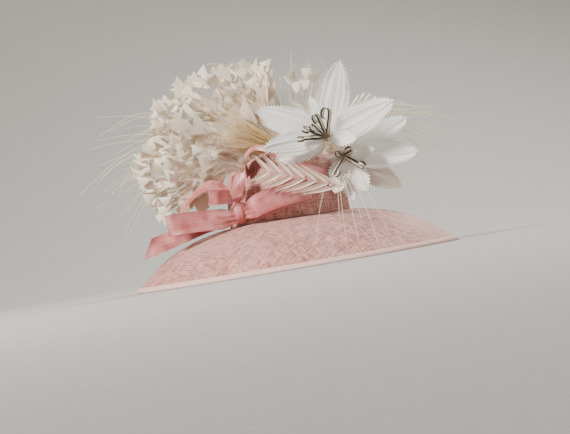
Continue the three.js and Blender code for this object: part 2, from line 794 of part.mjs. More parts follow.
// Sprays of long fine strands.
const sprays = [
  {
    name: "wisp_left",
    head: { across: -0.36, away: 0.74, up: 0.96 },
    ends: [
      { across: -3.22, away: 0.7, up: 1.0 },
      { across: -3.0, away: 0.7, up: 1.55 },
      { across: -2.9, away: 0.85, up: 2.05 },
      { across: -2.85, away: 0.9, up: 0.62 },
      { across: -2.7, away: 0.5, up: 0.3 },
      { across: -2.6, away: 1.1, up: 1.3 },
    ],
  },
  {
    name: "wisp_top",
    head: { across: 0.3, away: 0.68, up: 0.9 },
    ends: [
      { across: -0.9, away: 1.1, up: 2.7 },
      { across: -0.5, away: 1.3, up: 2.66 },
      { across: 0.5, away: 1.2, up: 2.62 },
      { across: 1.4, away: 0.9, up: 2.3 },
      { across: 1.0, away: 1.3, up: 2.45 },
    ],
  },
  {
    name: "wisp_right",
    head: { across: 0.58, away: 0.4, up: 0.9 },
    ends: [
      { across: 2.7, away: 0.3, up: 1.4 },
      { across: 2.6, away: 0.0, up: 1.7 },
      { across: 3.0, away: 0.1, up: 1.1 },
      { across: 2.9, away: 0.4, up: 0.8 },
      { across: 2.6, away: 0.2, up: 0.4 },
      { across: 2.2, away: 0.5, up: 0.1 },
    ],
  },
];

// A strand rises by a share of its length over the straight line, at a share of the way.
const strand = { rise: 0.12, bendAt: 0.55, rootShare: 0.6 };

function sprayShape({ head, ends }) {
  const start = at(head);
  const strands = ends.map((place) => {
    const end = at(place);
    const lift = new THREE.Vector3(0, 0, strand.rise * start.distanceTo(end));
    const bend = start.clone().lerp(end, strand.bendAt).add(lift);
    const root = start.clone().lerp(bend, (wisp.head * strand.rootShare) / start.distanceTo(bend));
    const points = new THREE.QuadraticBezierCurve3(root, bend, end).getPoints(3);
    const side = new THREE.Vector3(0, 1, 0);
    return strip(points.map((point) => ({ point, width: wisp.width, side })), wisp.wall);
  });
  return cut(joined([egg(start, wisp.head, wisp.head, wisp.head), ...strands]), seat);
}

// The assembly.

const hat = new THREE.Group();
const trimming = new THREE.Group();
trimming.rotation.z = trimTurn;
hat.add(trimming);

function add(group, name, geometry, look) {
  const mesh = new THREE.Mesh(geometry, new THREE.MeshStandardMaterial({ metalness: 0, ...look }));
  mesh.name = name;
  group.add(mesh);
}

add(hat, "brim", brimShape(), straw);
add(hat, "rim_binding", bindingShape(), bound);
add(hat, "crown", crownShape(), straw);
add(hat, "head_band", bandShape(), dark);

add(trimming, "ribbon_knot", cut(knotShape(0), seat), satin);
const knotSeat = knotShape(gap);
for (const each of ribbons) add(trimming, each.name, cut(ribbonShape(each), knotSeat, seat), satin);

for (const flower of flowers) {
  add(trimming, flower.name + "_heart", heartShape(flower), cream);
  for (const each of flower.petals)
    add(trimming, flower.name + "_petal_" + each.name, petalShape(flower, each), white);
}
for (const each of stamens) add(trimming, each.name, stamenShape(each), cream);
add(trimming, "tubular_tips", tubesShape(), cream);

fans.forEach((fan, i) => add(trimming, fan.name, fanShape(fan, i + 1), cream));
add(trimming, "quill_brush", brushShape(), yellow);
for (const each of softFeathers) add(trimming, each.name, cut(softFeatherShape(each), seat), blush);
add(trimming, "chevron_feather", chevronShape(), cream);
for (const each of sprays) add(trimming, each.name, sprayShape(each), yellow);

export default hat;
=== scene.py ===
# A church hat of pink woven straw with a satin bow, cloth flowers and a plume of cut quills.
import math
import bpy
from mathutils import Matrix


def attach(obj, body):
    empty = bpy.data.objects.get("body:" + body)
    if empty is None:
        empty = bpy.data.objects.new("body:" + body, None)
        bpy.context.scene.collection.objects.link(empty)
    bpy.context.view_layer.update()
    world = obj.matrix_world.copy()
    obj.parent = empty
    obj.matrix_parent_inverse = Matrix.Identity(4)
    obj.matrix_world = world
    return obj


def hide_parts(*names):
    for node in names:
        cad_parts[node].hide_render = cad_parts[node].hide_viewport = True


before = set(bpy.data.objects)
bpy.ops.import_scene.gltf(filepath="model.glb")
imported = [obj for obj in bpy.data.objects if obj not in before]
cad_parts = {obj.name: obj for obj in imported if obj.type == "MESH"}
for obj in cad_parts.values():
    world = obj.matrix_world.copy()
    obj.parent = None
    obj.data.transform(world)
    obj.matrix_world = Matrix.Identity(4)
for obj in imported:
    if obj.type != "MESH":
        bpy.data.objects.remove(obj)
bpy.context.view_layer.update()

from types import SimpleNamespace as Sizes

import bpy
import numpy as np
from mathutils import Matrix, Vector

# Driving sizes in metres, as in the frame, with some shares and counts.
gap = 0.0003
brim = Sizes(radius=0.240, depth=0.072, bell=3.2, wall=0.0016, foot=0.0024)
crown = Sizes(width=0.170, length=0.200, height=0.100, wall=0.0016)
binding = Sizes(outer_leg=0.005, inner_leg=0.013, wall=0.0009, sole=0.0022, bulge=0.0002)
stitch = Sizes(pitch=0.0042, share=0.62, thread=0.00022, outer_inset=0.0011, inner_inset=0.0012)
band = Sizes(height=0.024, drop=0.006, wall=0.001)
ribbon = Sizes(width=0.030, wall=0.0006, pinch=0.62)
knot = Sizes(width=0.026, depth=0.026, height=0.034)
petal = Sizes(length=0.105, width=0.046, wall=0.0006, neck=0.005, layer=0.0019, fold=0.05)
pinking = Sizes(pitch=0.0042, bite=0.0044)
stamen = Sizes(length=0.045, width=0.007, wall=0.0005, curl=0.0065, post=0.004)
tuft = Sizes(reaches=(0.0105, 0.0135), strand=0.0003, depth=0.006, count=190)
tube = Sizes(radius=0.0026, length=0.024, wall=0.0005, stem=0.0008, root=0.008)
quill = Sizes(stem=0.00032, wall=0.00022, tip_length=0.0195, tip_width=0.0195)
plume = Sizes(reach=0.245, head=0.009, core_share=0.62, down=0.024, down_count=140)
brush = Sizes(length=0.115, strand=0.0004, head=0.008, count=260)
feather = Sizes(length=0.120, width=0.030, barb=0.0012, count=84)
chevron = Sizes(length=0.112, barb=0.058, width=0.0030, wall=0.0005)
wisp = Sizes(strand=0.00054, head=0.006)
drape = Sizes(clear=0.0025, arch=0.014)

# How thick a woven wall is shown, as a share of the solid's.
WOVEN_SHARE = 0.9

# The trimming is laid out as seen from the hat's right front, which is turned this far from its front.
TRIM_TURN = math.radians(-37)
UP = np.array([0.0, 0.0, 1.0])
TO_VIEWER = np.array([0.0, -1.0, 0.0])
AWAY = -TO_VIEWER


def turned(points):
    """Points from the viewer's axes to the hat's."""
    c, s = math.cos(TRIM_TURN), math.sin(TRIM_TURN)
    return np.asarray(points) @ np.array([[c, s, 0], [-s, c, 0], [0, 0, 1]])


def unit(v):
    return v / np.maximum(np.linalg.norm(v, axis=-1, keepdims=True), 1e-12)


def direction(angle):
    """The way at an angle from the viewer's right, in the plane of the view."""
    return np.array([math.cos(angle), 0.0, math.sin(angle)])


def turns(count):
    """Evenly spread angles of one full turn."""
    return np.arange(count) * math.tau / count


def spun(r, angle, z):
    """Points at a radius, an angle and a height."""
    return np.stack(np.broadcast_arrays(r * np.cos(angle), r * np.sin(angle), z), axis=-1)


def ring_in(side, over, angles, size=1.0):
    """The points of a ring in the plane of two ways."""
    return (np.cos(angles) * size)[None, :, None] * side + (np.sin(angles) * size)[None, :, None] * over


def shares(rows, cols):
    """Shares from 0 to 1 along the rows of a grid, and from -1 to 1 across its columns."""
    return np.linspace(0, 1, rows)[:, None], np.linspace(-1, 1, cols)[None]


def placed(points, *moves):
    """Points moved by each pair of an amount, or a grid of amounts, and a way."""
    for amount, way in moves:
        points = points + amount[..., None] * way
    return points


def ease(x, start, end):
    """A smooth step from 0 at start to 1 at end."""
    t = np.clip((x - start) / (end - start), 0, 1)
    return t * t * (3 - 2 * t)


def blend(t, start, end, a, b):
    """What lies at t on the line from a, at start, to b, at end."""
    return (end - t) / (end - start) * a + (t - start) / (end - start) * b


def smooth(points, count):
    """Points spread evenly along a centripetal Catmull-Rom curve through the given ones."""
    p = np.asarray(points, float)
    p = np.vstack([2 * p[0] - p[1], p, 2 * p[-1] - p[-2]])
    knots = np.concatenate([[0], np.cumsum(np.linalg.norm(np.diff(p, axis=0), axis=1) ** 0.5)])
    fine = []
    for i in range(1, len(p) - 2):
        t0, t1, t2, t3 = knots[i - 1 : i + 3]
        t = np.linspace(t1, t2, 24, endpoint=False)[:, None]
        a1 = blend(t, t0, t1, p[i - 1], p[i])
        a2 = blend(t, t1, t2, p[i], p[i + 1])
        a3 = blend(t, t2, t3, p[i + 1], p[i + 2])
        fine.append(blend(t, t1, t2, blend(t, t0, t2, a1, a2), blend(t, t1, t3, a2, a3)))
    fine = np.vstack([*fine, p[-2][None]])
    run = run_of(fine)
    at_run = np.linspace(0, run[-1], count)
    return np.stack([np.interp(at_run, run, fine[:, k]) for k in range(fine.shape[1])], axis=1)


def run_of(path):
    """The distance along a path at each of its points."""
    return np.concatenate([[0], np.cumsum(np.linalg.norm(np.diff(path, axis=0), axis=1))])


# The straw body's curves.


def brim_z(r):
    return brim.foot + brim.depth * (1 - (r / brim.radius) ** brim.bell)


def brim_slope(r):
    return -brim.depth * brim.bell * (r / brim.radius) ** (brim.bell - 1) / brim.radius


def off_brim(r, outward, down=0.0):
    """A point off the brim's middle surface, in the plane of a radius, as (r, z)."""
    slope = brim_slope(r)
    size = math.hypot(1, slope)
    return r + (-slope * outward + down) / size, brim_z(r) + (outward + slope * down) / size


def oval_radius(angle, shrink):
    """The radius of the crown's oval, made smaller by shrink, at an angle."""
    a = crown.width / 2 - shrink
    b = crown.length / 2 - shrink
    return a * b / np.hypot(b * np.cos(angle), a * np.sin(angle))


# The heights of the crown's foot and top, and its mean half width.
JOIN_Z = brim_z(crown.width / 2)
CROWN_TOP = JOIN_Z + crown.height
CROWN_HALF = (crown.width + crown.length) / 4

# The crown's rings: share of its oval, and share of its height.
CROWN_RINGS = np.array(
    [(1, 0), (0.985, 0.3), (0.955, 0.56), (0.9, 0.74), (0.8, 0.87), (0.62, 0.955), (0.35, 0.99), (0, 1)]
)
CROWN_CURVE = smooth(CROWN_RINGS, 60)


def at(across, away, up):
    """A place as shares of the crown's half width and height, in the viewer's axes."""
    return np.array([across * CROWN_HALF, away * CROWN_HALF, JOIN_Z + up * crown.height])


def off_crown(points, clear=0.0004):
    """Moves points that lie in the crown out to its surface. Points are in the hat's axes."""
    p = np.array(points, float)
    x, y, z = p[..., 0], p[..., 1], p[..., 2]
    angle, r = np.arctan2(y, x), np.hypot(x, y)
    foot_radius = oval_radius(angle, crown.wall / 2)
    foot = brim_z(foot_radius) + brim.wall / 2 + gap
    tall = CROWN_TOP - foot
    skin = foot_radius * np.interp((z - foot) / tall, CROWN_RINGS[:, 1], CROWN_RINGS[:, 0])
    skin = skin + crown.wall / 2 + clear
    rise = np.interp(r / foot_radius, CROWN_RINGS[::-1, 0], CROWN_RINGS[::-1, 1])
    lid = foot + rise * tall + crown.wall / 2 + clear
    inside = (z > foot - 0.004) & (z < lid) & (r < skin)
    sideways = inside & (skin - r <= lid - z)
    upward = inside & ~sideways
    scale = np.where(sideways, skin / np.maximum(r, 1e-6), 1.0)
    p[..., 0] = x * scale
    p[..., 1] = y * scale
    p[..., 2] = np.where(upward, lid, z)
    return p


# Mesh making.


class Form:
    """The points and faces of many small shapes that make one mesh.

    Each point also has its place on the flat cloth and a tint from 0 to 1. The place is in
    metres, but round a strand it is a share of the turn."""

    def __init__(self):
        self.points, self.faces, self.flat, self.tint, self.count = [], [], [], [], 0

    def add(self, points, faces, flat, tint):
        self.points.append(points)
        self.faces.extend((np.asarray(faces) + self.count).tolist())
        self.flat.append(flat)
        self.tint.append(np.full(len(points), float(tint)))
        self.count += len(points)

    def sheet(self, grid, thickness, flat=None, tint=0.0, around=False):
        """A closed sheet of even thickness about a grid of points, rows along and columns across."""
        rows, cols = grid.shape[:2]
        if around:
            along = np.roll(grid, -1, axis=0) - np.roll(grid, 1, axis=0)
        else:
            along = np.gradient(grid, axis=0)
        normal = unit(np.cross(along, np.gradient(grid, axis=1)))
        points = np.stack([grid + normal * thickness / 2, grid - normal * thickness / 2]).reshape(-1, 3)
        index = np.arange(len(points)).reshape(2, rows, cols)
        front, back = index
        if around:
            front, back = (np.vstack([side, side[:1]]) for side in index)
        faces = [quads(front), quads(back)[:, ::-1]]
        faces.append(edge_quads(back[:, 0], front[:, 0]))
        faces.append(edge_quads(front[:, -1], back[:, -1]))
        if not around:
            faces.append(edge_quads(front[0], back[0]))
            faces.append(edge_quads(back[-1], front[-1]))
        if flat is None:
            flat = flat_of(grid)
        self.add(points, np.vstack(faces), np.stack([flat, flat]).reshape(-1, 2), tint)

    def strand(self, path, radius, sides, tint, flatten=1.0):
        """A thin closed tube along a path, with one radius or one at each of its points."""
        path = np.asarray(path, float)
        tangent = unit(np.gradient(path, axis=0))
        lead = np.where(np.abs(tangent[:, 2:]) > 0.9, [[1.0, 0, 0]], [[0, 0, 1.0]])
        side = unit(np.cross(tangent, lead))
        over = np.cross(side, tangent)
        turn = turns(sides)
        radius = np.broadcast_to(radius, (len(path),))[:, None, None]
        level, upright = np.cos(turn)[None, :, None], flatten * np.sin(turn)[None, :, None]
        ring = level * side[:, None] + upright * over[:, None]
        points = (path[:, None] + radius * ring).reshape(-1, 3)
        index = np.arange(len(points)).reshape(len(path), sides)
        body = quads(np.hstack([index, index[:, :1]]))
        first, last = index[0], index[-1]
        caps = [[first[0], first[k], first[k + 1], first[k + 1]] for k in range(1, sides - 1)]
        caps += [[last[0], last[k + 1], last[k], last[k]] for k in range(1, sides - 1)]
        around = np.broadcast_to(turn / math.tau, (len(path), sides))
        flat = np.stack([np.broadcast_to(run_of(path)[:, None], (len(path), sides)), around], axis=-1)
        self.add(points, np.vstack([body, caps]), flat.reshape(-1, 2), tint)

    def hair(self, places, radius, sides, tint, flatten=1.0, clear=False):
        """A strand through places in the viewer's axes, kept out of the crown if clear is true."""
        path = turned(smooth(places, len(radius)))
        self.strand(off_crown(path) if clear else path, radius, sides, tint, flatten)

    def rings(self, grid, flat, tint):
        """A closed body through rings of points, with a point in the middle of each end."""
        rows, cols = grid.shape[:2]
        index = np.arange(rows * cols).reshape(rows, cols)
        index = np.hstack([index, index[:, :1]])
        poles = np.array([grid[0].mean(axis=0), grid[-1].mean(axis=0)])
        first, last = rows * cols, rows * cols + 1
        caps = [[first, index[0, k], index[0, k + 1], index[0, k + 1]] for k in range(cols)]
        caps += [[last, index[-1, k + 1], index[-1, k], index[-1, k]] for k in range(cols)]
        points = np.vstack([grid.reshape(-1, 3), poles])
        flat = flat.reshape(-1, 2)
        self.add(points, np.vstack([quads(index), caps]), np.vstack([flat, flat[:2]]), tint)

    def build(self, name, material, nodes, crease=40):
        """The finished piece, which stands for the CAD nodes named."""
        mesh = bpy.data.meshes.new(name)
        faces = [face[:3] if face[2] == face[3] else face for face in self.faces]
        mesh.from_pydata(np.concatenate(self.points).tolist(), [], faces)
        kinds = [("flat", "FLOAT2", "vector", self.flat), ("tint", "FLOAT", "value", self.tint)]
        for key, kind, field, values in kinds:
            data = mesh.attributes.new(key, kind, "POINT").data
            data.foreach_set(field, np.concatenate(values).astype(np.float32).ravel())
        mesh.polygons.foreach_set("use_smooth", [True] * len(mesh.polygons))
        mesh.set_sharp_from_angle(angle=math.radians(crease))
        mesh.materials.append(material)
        mesh.update()
        piece = linked(name, mesh)
        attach(piece, "root")
        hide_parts(*nodes)
        return piece


def linked(name, data):
    """A new object in the scene."""
    made = bpy.data.objects.new(name, data)
    bpy.context.scene.collection.objects.link(made)
    return made


def quads(index):
    """The faces of a grid of point numbers."""
    a, b = index[:-1, :-1], index[1:, :-1]
    c, d = index[1:, 1:], index[:-1, 1:]
    return np.stack([a, b, c, d], axis=-1).reshape(-1, 4)


def edge_quads(first, second):
    return np.stack([first[:-1], second[:-1], second[1:], first[1:]], axis=-1)[:, ::-1]


def flat_of(grid):
    """Distances along and across a grid, from the middle of each row."""
    along = run_of(grid[:, grid.shape[1] // 2])
    steps = np.linalg.norm(np.diff(grid, axis=1), axis=-1)
    across = np.hstack([np.zeros((len(grid), 1)), np.cumsum(steps, axis=1)])
    across -= across[:, -1:] / 2
    return np.stack([np.broadcast_to(along[:, None], across.shape), across], axis=-1)


def ball(form, centre, size, ripple, folds=7):
    """A small padded base about a centre in the viewer's axes, which keeps out of the crown."""
    rows, cols = 20, 28
    lat = np.linspace(0.02, math.pi - 0.02, rows)[:, None]
    lon = np.linspace(0, 2 * math.pi, cols, endpoint=False)[None]
    swell = 1 + ripple * np.sin(folds * lon + 2 * np.cos(lat))
    x = size[0] * swell * np.sin(lat) * np.cos(lon)
    y = size[1] * swell * np.sin(lat) * np.sin(lon)
    z = size[2] * np.cos(lat) + 0 * lon
    grid = off_crown(turned(np.stack([x, y, z], axis=-1) + centre))
    form.rings(grid, np.stack([lat * size[2] + 0 * lon, lon * size[0] + 0 * lat], axis=-1), 0.5)


# Materials.


class Look:
    """One material, with short calls that add its nodes and link them."""

    def __init__(self, name, roughness=0.7, sheen=0.0, sheen_tint=(1, 1, 1), specular=0.5):
        self.material = bpy.data.materials.new(name)
        self.material.use_nodes = True
        self.tree = self.material.node_tree
        self.shader = self.tree.nodes["Principled BSDF"]
        self.shader.inputs["Roughness"].default_value = roughness
        self.shader.inputs["Sheen Weight"].default_value = sheen
        self.shader.inputs["Sheen Tint"].default_value = (*sheen_tint, 1)
        self.shader.inputs["Specular IOR Level"].default_value = specular

    def node(self, kind, inputs=None, **settings):
        made = self.tree.nodes.new("ShaderNode" + kind)
        for key, value in settings.items():
            setattr(made, key, value)
        for key, value in (inputs or {}).items():
            self.put(made.inputs[key], value)
        return made

    def put(self, socket, value):
        if isinstance(value, bpy.types.NodeSocket):
            self.tree.links.new(value, socket)
        elif isinstance(value, tuple) and len(value) == 3 and socket.type == "RGBA":
            socket.default_value = (*value, 1)
        else:
            socket.default_value = value

    def attribute(self, name):
        return self.node("Attribute", attribute_name=name)

    def along(self, scale_along, scale_across):
        """The place on the flat cloth, scaled."""
        flat = self.attribute("flat").outputs["Vector"]
        scale = (scale_along, scale_across, 1)
        return self.node("Mapping", {"Vector": flat, "Scale": scale}).outputs[0]

    def parts(self):
        """The distances along and across the flat cloth."""
        split = self.node("SeparateXYZ", {0: self.attribute("flat").outputs["Vector"]})
        return split.outputs[0], split.outputs[1]

    def tint(self):
        return self.attribute("tint").outputs["Fac"]

    def noise(self, vector=None, scale=1.0, detail=2.0):
        if vector is None:
            vector = self.node("TexCoord").outputs["Object"]
        return self.node("TexNoise", {"Vector": vector, "Scale": scale, "Detail": detail}).outputs["Fac"]

    def math(self, operation, a, b=0.0):
        return self.node("Math", {0: a, 1: b}, operation=operation).outputs[0]

    def span(self, value, low, high, to_low=0.0, to_high=1.0):
        inputs = {"Value": value, "From Min": low, "From Max": high, "To Min": to_low, "To Max": to_high}
        return self.node("MapRange", inputs).outputs[0]

    def mix(self, share, first, second):
        made = self.node("Mix", data_type="RGBA")
        self.put(made.inputs[0], share)
        self.put(made.inputs[6], first)
        self.put(made.inputs[7], second)
        return made.outputs[2]

    def stain(self, colour, other, value, low, high, most):
        """Mixes another colour in, up to a share, as a value goes from low to high."""
        return self.mix(self.span(value, low, high, 0, most), colour, other)

    def finish(self, colour, height, distance, strength, roughness=None):
        """Sets the colour, a bump of the given height and, if it varies, the roughness."""
        self.put(self.shader.inputs["Base Color"], colour)
        if roughness is not None:
            self.put(self.shader.inputs["Roughness"], roughness)
        bump = self.node("Bump", {"Height": height, "Distance": distance, "Strength": strength})
        self.put(self.shader.inputs["Normal"], bump.outputs[0])
        return self.material


def sinamay(name, light, deep, fine=600.0, slub=55.0):
    """Open weave of banana fibre: uneven threads both ways, with darker gaps where both are thin."""
    look = Look(name, sheen=0.3, sheen_tint=(1.0, 0.86, 0.82), specular=0.3)
    warp = look.noise(look.along(fine, slub), detail=3.0)
    weft = look.noise(look.along(slub, fine), detail=3.0)
    threads = look.math("MAXIMUM", warp, weft)
    gaps = look.math("MINIMUM", warp, weft)
    patches = look.noise(look.along(70, 70), detail=4.0)
    clouds = look.noise(look.along(14, 14), detail=2.0)
    share = look.span(look.math("ADD", threads, gaps), 0.84, 1.14)
    flecks = look.noise(look.along(fine * 0.7, fine * 0.7), detail=2.0)
    colour = look.mix(share, deep, light)
    colour = look.stain(colour, deep, patches, 0.42, 0.68, 0.4)
    colour = look.stain(colour, (0.82, 0.52, 0.44), clouds, 0.4, 0.7, 0.25)
    colour = look.stain(colour, (0.95, 0.78, 0.72), flecks, 0.56, 0.7, 0.35)
    height = look.math("ADD", threads, look.math("MULTIPLY", gaps, 0.7))
    roughness = look.span(threads, 0.35, 0.7, 0.82, 0.58)
    return look.finish(colour, height, 0.0011, 0.75, roughness)


def satin(name, light, deep):
    """Satin ribbon: smooth and glossy across, fine ribs of weft, a corded selvedge and soft crease streaks,
    with painted sheen in lighter pink on the crease ridges and painted shade in sharp-edged darker bands
    across the ribbon.
    """
    look = Look(name, sheen=0.12, sheen_tint=(1.0, 0.8, 0.8), specular=0.75)
    look.shader.inputs["Anisotropic"].default_value = 0.45
    along, across = look.parts()
    ribs = look.math("SINE", look.math("MULTIPLY", along, math.tau / 0.0007))
    edge = look.span(look.math("ABSOLUTE", across), 0.0128, 0.0142)
    painted_shade_panels = look.noise(look.along(21, 2), detail=0.0)
    creases_and_sheen = look.noise(look.along(26, 240), detail=3.0)
    soft = look.noise(scale=38.0, detail=2.0)
    colour = look.mix(look.span(soft, 0.35, 0.7), deep, light)
    # Painted sheen: a paler pink on the raised crease streaks; the same noise also gives the crease bump and
    # roughness.
    colour = look.stain(colour, (0.94, 0.56, 0.54), creases_and_sheen, 0.5, 0.75, 0.3)
    colour = look.mix(look.math("MULTIPLY", edge, 0.35), colour, deep)
    # Painted shade: sharp-edged darker bands across the ribbon stand for the shading of its folds.
    colour = look.stain(colour, deep, painted_shade_panels, 0.46, 0.5, 0.4)
    height = look.math("ADD", look.math("MULTIPLY", ribs, 0.08), creases_and_sheen)
    height = look.math("ADD", height, look.math("MULTIPLY", edge, 0.4))
    return look.finish(colour, height, 0.0006, 0.5, look.span(creases_and_sheen, 0.3, 0.75, 0.24, 0.4))


def petal_cloth(name, light, shade):
    """Stiffened cloth: fine ribs from the neck to the tip, a matt weave and painted shade, a darker warm
    cream, towards the foot.
    """
    look = Look(name, roughness=0.72, sheen=0.25, specular=0.35)
    along = look.parts()[0]
    veins = look.noise(look.along(22, 340), detail=5.0)
    weave = look.noise(look.along(1900, 1900), detail=1.0)
    cloud = look.noise(scale=55.0, detail=3.0)
    # Painted shade: a darker warm cream that grows towards the foot of the cloth.
    foot = look.span(along, 0.004, 0.045, 0.75, 0.0)
    colour = look.mix(look.span(veins, 0.3, 0.5), shade, light)
    colour = look.stain(colour, shade, cloud, 0.4, 0.75, 0.25)
    colour = look.mix(look.math("MULTIPLY", foot, 0.5), colour, (0.78, 0.7, 0.55))
    height = look.math("ADD", veins, look.math("MULTIPLY", weave, 0.2))
    return look.finish(colour, height, 0.0013, 0.6, look.span(weave, 0.3, 0.7, 0.62, 0.85))


def plumage(name, light, shade, accent, barbs=1500.0):
    """Feather: close barbs that lie along the vane, each quill with its own tint."""
    look = Look(name, roughness=0.68, sheen=0.35, specular=0.35)
    barb = look.noise(look.along(60, barbs), detail=2.0)
    tint = look.tint()
    colour = look.mix(look.span(tint, 0.0, 0.8), light, shade)
    colour = look.stain(colour, accent, tint, 0.6, 1.0, 0.8)
    colour = look.stain(colour, accent, barb, 0.4, 0.75, 0.4)
    height = look.math("ADD", barb, look.math("MULTIPLY", look.noise(scale=900.0, detail=1.0), 0.3))
    return look.finish(colour, height, 0.0006, 0.8, look.span(barb, 0.3, 0.7, 0.5, 0.8))


def stripped(name, root, tip, length, dark):
    """Fine stripped strands: a deeper root, a pale tip and uneven bands."""
    look = Look(name, roughness=0.6, sheen=0.2, specular=0.4)
    along = look.parts()[0]
    bands = look.noise(look.along(160, 1), detail=2.0)
    colour = look.mix(look.span(along, 0.0, length), root, tip)
    colour = look.stain(colour, dark, look.tint(), 0.4, 1.0, 0.8)
    colour = look.stain(colour, dark, bands, 0.45, 0.8, 0.3)
    return look.finish(colour, bands, 0.0002, 0.4, look.span(bands, 0.3, 0.7, 0.5, 0.7))


STRAW = sinamay("sinamay_pink", (0.76, 0.38, 0.31), (0.27, 0.09, 0.07))
BINDING = sinamay("sinamay_binding", (0.97, 0.66, 0.6), (0.8, 0.44, 0.39), 1300.0, 160.0)
SATIN = satin("satin_pink", (0.86, 0.36, 0.35), (0.42, 0.09, 0.085))
PETAL = petal_cloth("petal_white", (0.97, 0.96, 0.92), (0.83, 0.8, 0.72))
SHEER = petal_cloth("petal_beige", (0.7, 0.62, 0.5), (0.5, 0.42, 0.31))
FEATHER = plumage("feather_cream", (0.97, 0.92, 0.8), (0.8, 0.65, 0.46), (0.58, 0.42, 0.27))
BLUSH = plumage("feather_blush", (0.91, 0.77, 0.62), (0.8, 0.6, 0.46), (0.62, 0.41, 0.3))
FISHBONE = plumage("feather_fishbone", (0.92, 0.82, 0.66), (0.72, 0.46, 0.36), (0.5, 0.28, 0.2), 900.0)
BRUSH = stripped("quill_yellow", (0.6, 0.34, 0.07), (0.9, 0.74, 0.44), 0.09, (0.36, 0.22, 0.07))
WISP = stripped("wisp_beige", (0.7, 0.58, 0.38), (0.86, 0.78, 0.6), 0.25, (0.52, 0.43, 0.28))


def grosgrain():
    """Dark ribbed band inside the head opening."""
    look = Look("grosgrain_dark", roughness=0.7, sheen=0.2, specular=0.35)
    ribs = look.math("SINE", look.math("MULTIPLY", look.parts()[0], math.tau / 0.0016))
    wear = look.noise(scale=70.0, detail=3.0)
    colour = look.mix(look.span(wear, 0.35, 0.75), (0.07, 0.035, 0.03), (0.15, 0.085, 0.07))
    colour = look.stain(colour, (0.2, 0.12, 0.1), ribs, -1, 1, 0.35)
    return look.finish(colour, ribs, 0.0004, 0.7, look.span(wear, 0.3, 0.7, 0.6, 0.8))


def edged():
    """Cream strips with dark edges."""
    look = Look("stamen_cream", roughness=0.6, sheen=0.2, specular=0.4)
    across = look.parts()[1]
    near = look.span(across, stamen.width * 0.06, stamen.width * 0.1)
    far = look.span(across, -stamen.width * 0.33, -stamen.width * 0.37)
    edge = look.math("MAXIMUM", near, far)
    grain = look.noise(look.along(90, 1400), detail=2.0)
    colour = look.mix(grain, (0.6, 0.5, 0.34), (0.78, 0.7, 0.54))
    colour = look.mix(edge, colour, (0.012, 0.01, 0.01))
    return look.finish(colour, grain, 0.0004, 0.6, look.span(grain, 0.3, 0.7, 0.5, 0.72))


GROSGRAIN = grosgrain()
STAMEN = edged()
TUFT = stripped("tuft_khaki", (0.22, 0.14, 0.06), (0.62, 0.5, 0.3), 0.012, (0.3, 0.2, 0.1))
TUBE = petal_cloth("tube_cream", (0.88, 0.83, 0.71), (0.58, 0.5, 0.36))


# The straw body.


def woven_brim():
    form = Form()
    angle = turns(288)[:, None]
    share = np.linspace(0, 1, 44)[None]
    inner = oval_radius(angle, crown.wall)
    r = inner + share * (brim.radius - inner)
    wave_height = 0.0005 * np.sin(math.pi * share) ** 2
    wave = wave_height * (np.sin(5 * angle + 1) + 0.6 * np.sin(11 * angle + 6 * share))
    grid = spun(r, angle, brim_z(r) + wave)[:, ::-1]
    form.sheet(grid, brim.wall * WOVEN_SHARE, grid[..., :2], around=True)
    form.build("woven_brim", STRAW, ["brim"])


def woven_crown():
    """The crown's wall, which ends in a fine ring at the top, and the small lid that closes it."""
    form = Form()
    angle = turns(192)[:, None]
    curve = CROWN_CURVE.copy()
    tip_share, lid_radii = 0.004, (0.0042, 0.0002)
    curve[-1, 0] = tip_share
    foot_radius = oval_radius(angle, crown.wall / 2)
    foot = brim_z(foot_radius) + brim.wall / 2 + gap
    r = foot_radius * curve[None, :, 0]
    grid = spun(r, angle, foot + curve[None, :, 1] * (CROWN_TOP - foot))
    run = np.broadcast_to(run_of(curve * crown.height)[None], r.shape)
    flat = np.stack([angle * CROWN_HALF + 0 * r, run], axis=-1)
    form.sheet(grid, crown.wall * WOVEN_SHARE, flat, around=True)
    lid = spun(np.linspace(*lid_radii, 5)[None], turns(24)[:, None], CROWN_TOP)
    form.sheet(lid, crown.wall * WOVEN_SHARE, lid[..., :2], around=True)
    form.build("woven_crown", STRAW, ["crown"])


def bias_binding():
    form = Form()
    near = brim.wall / 2 + gap
    far = near + binding.wall
    middle = (near + far) / 2
    lean = math.hypot(1, brim_slope(brim.radius))
    outer_top = brim.radius - binding.outer_leg / lean
    inner_top = brim.radius - binding.inner_leg / lean
    section = [
        off_brim(outer_top, middle),
        off_brim(brim.radius - 0.002, middle + binding.bulge),
        off_brim(brim.radius, middle, gap),
        (brim.radius + binding.sole, 0.0009),
        (brim.radius + 0.0008, 0.0006),
        (brim.radius - gap, 0.0007),
        off_brim(brim.radius, -middle, 0),
        off_brim(brim.radius - 0.004, -middle - binding.bulge),
        off_brim(inner_top, -middle),
    ]
    steps = 40
    curve = smooth([(r, 0, z) for r, z in section], steps)
    angle = turns(360)[:, None]
    ripple = 0.00012 * np.sin(150 * angle) * np.sin(math.pi * np.linspace(0, 1, steps))[None]
    grid = spun(curve[None, :, 0] + ripple, angle, curve[None, :, 2])
    bias = run_of(curve)[None]
    flat = np.stack([angle * brim.radius + bias, angle * brim.radius - bias], axis=-1)
    form.sheet(grid, binding.wall * WOVEN_SHARE, flat, around=True)
    count = int(math.tau * brim.radius / stitch.pitch)
    length = stitch.share * stitch.pitch / brim.radius
    for k in range(count):
        for r, out in [(outer_top + stitch.outer_inset, far), (inner_top + stitch.inner_inset, -far)]:
            r0, z0 = off_brim(r, out + math.copysign(0.00008, out))
            sink = np.array([-1, 0.6, 0.6, -1]) * 0.0001
            thread = spun(r0 + sink, np.linspace(0, length, 4) + k * math.tau / count, z0 + sink)
            form.strand(thread, stitch.thread, 4, 0.3)
    form.build("bias_binding", BINDING, ["rim_binding"])


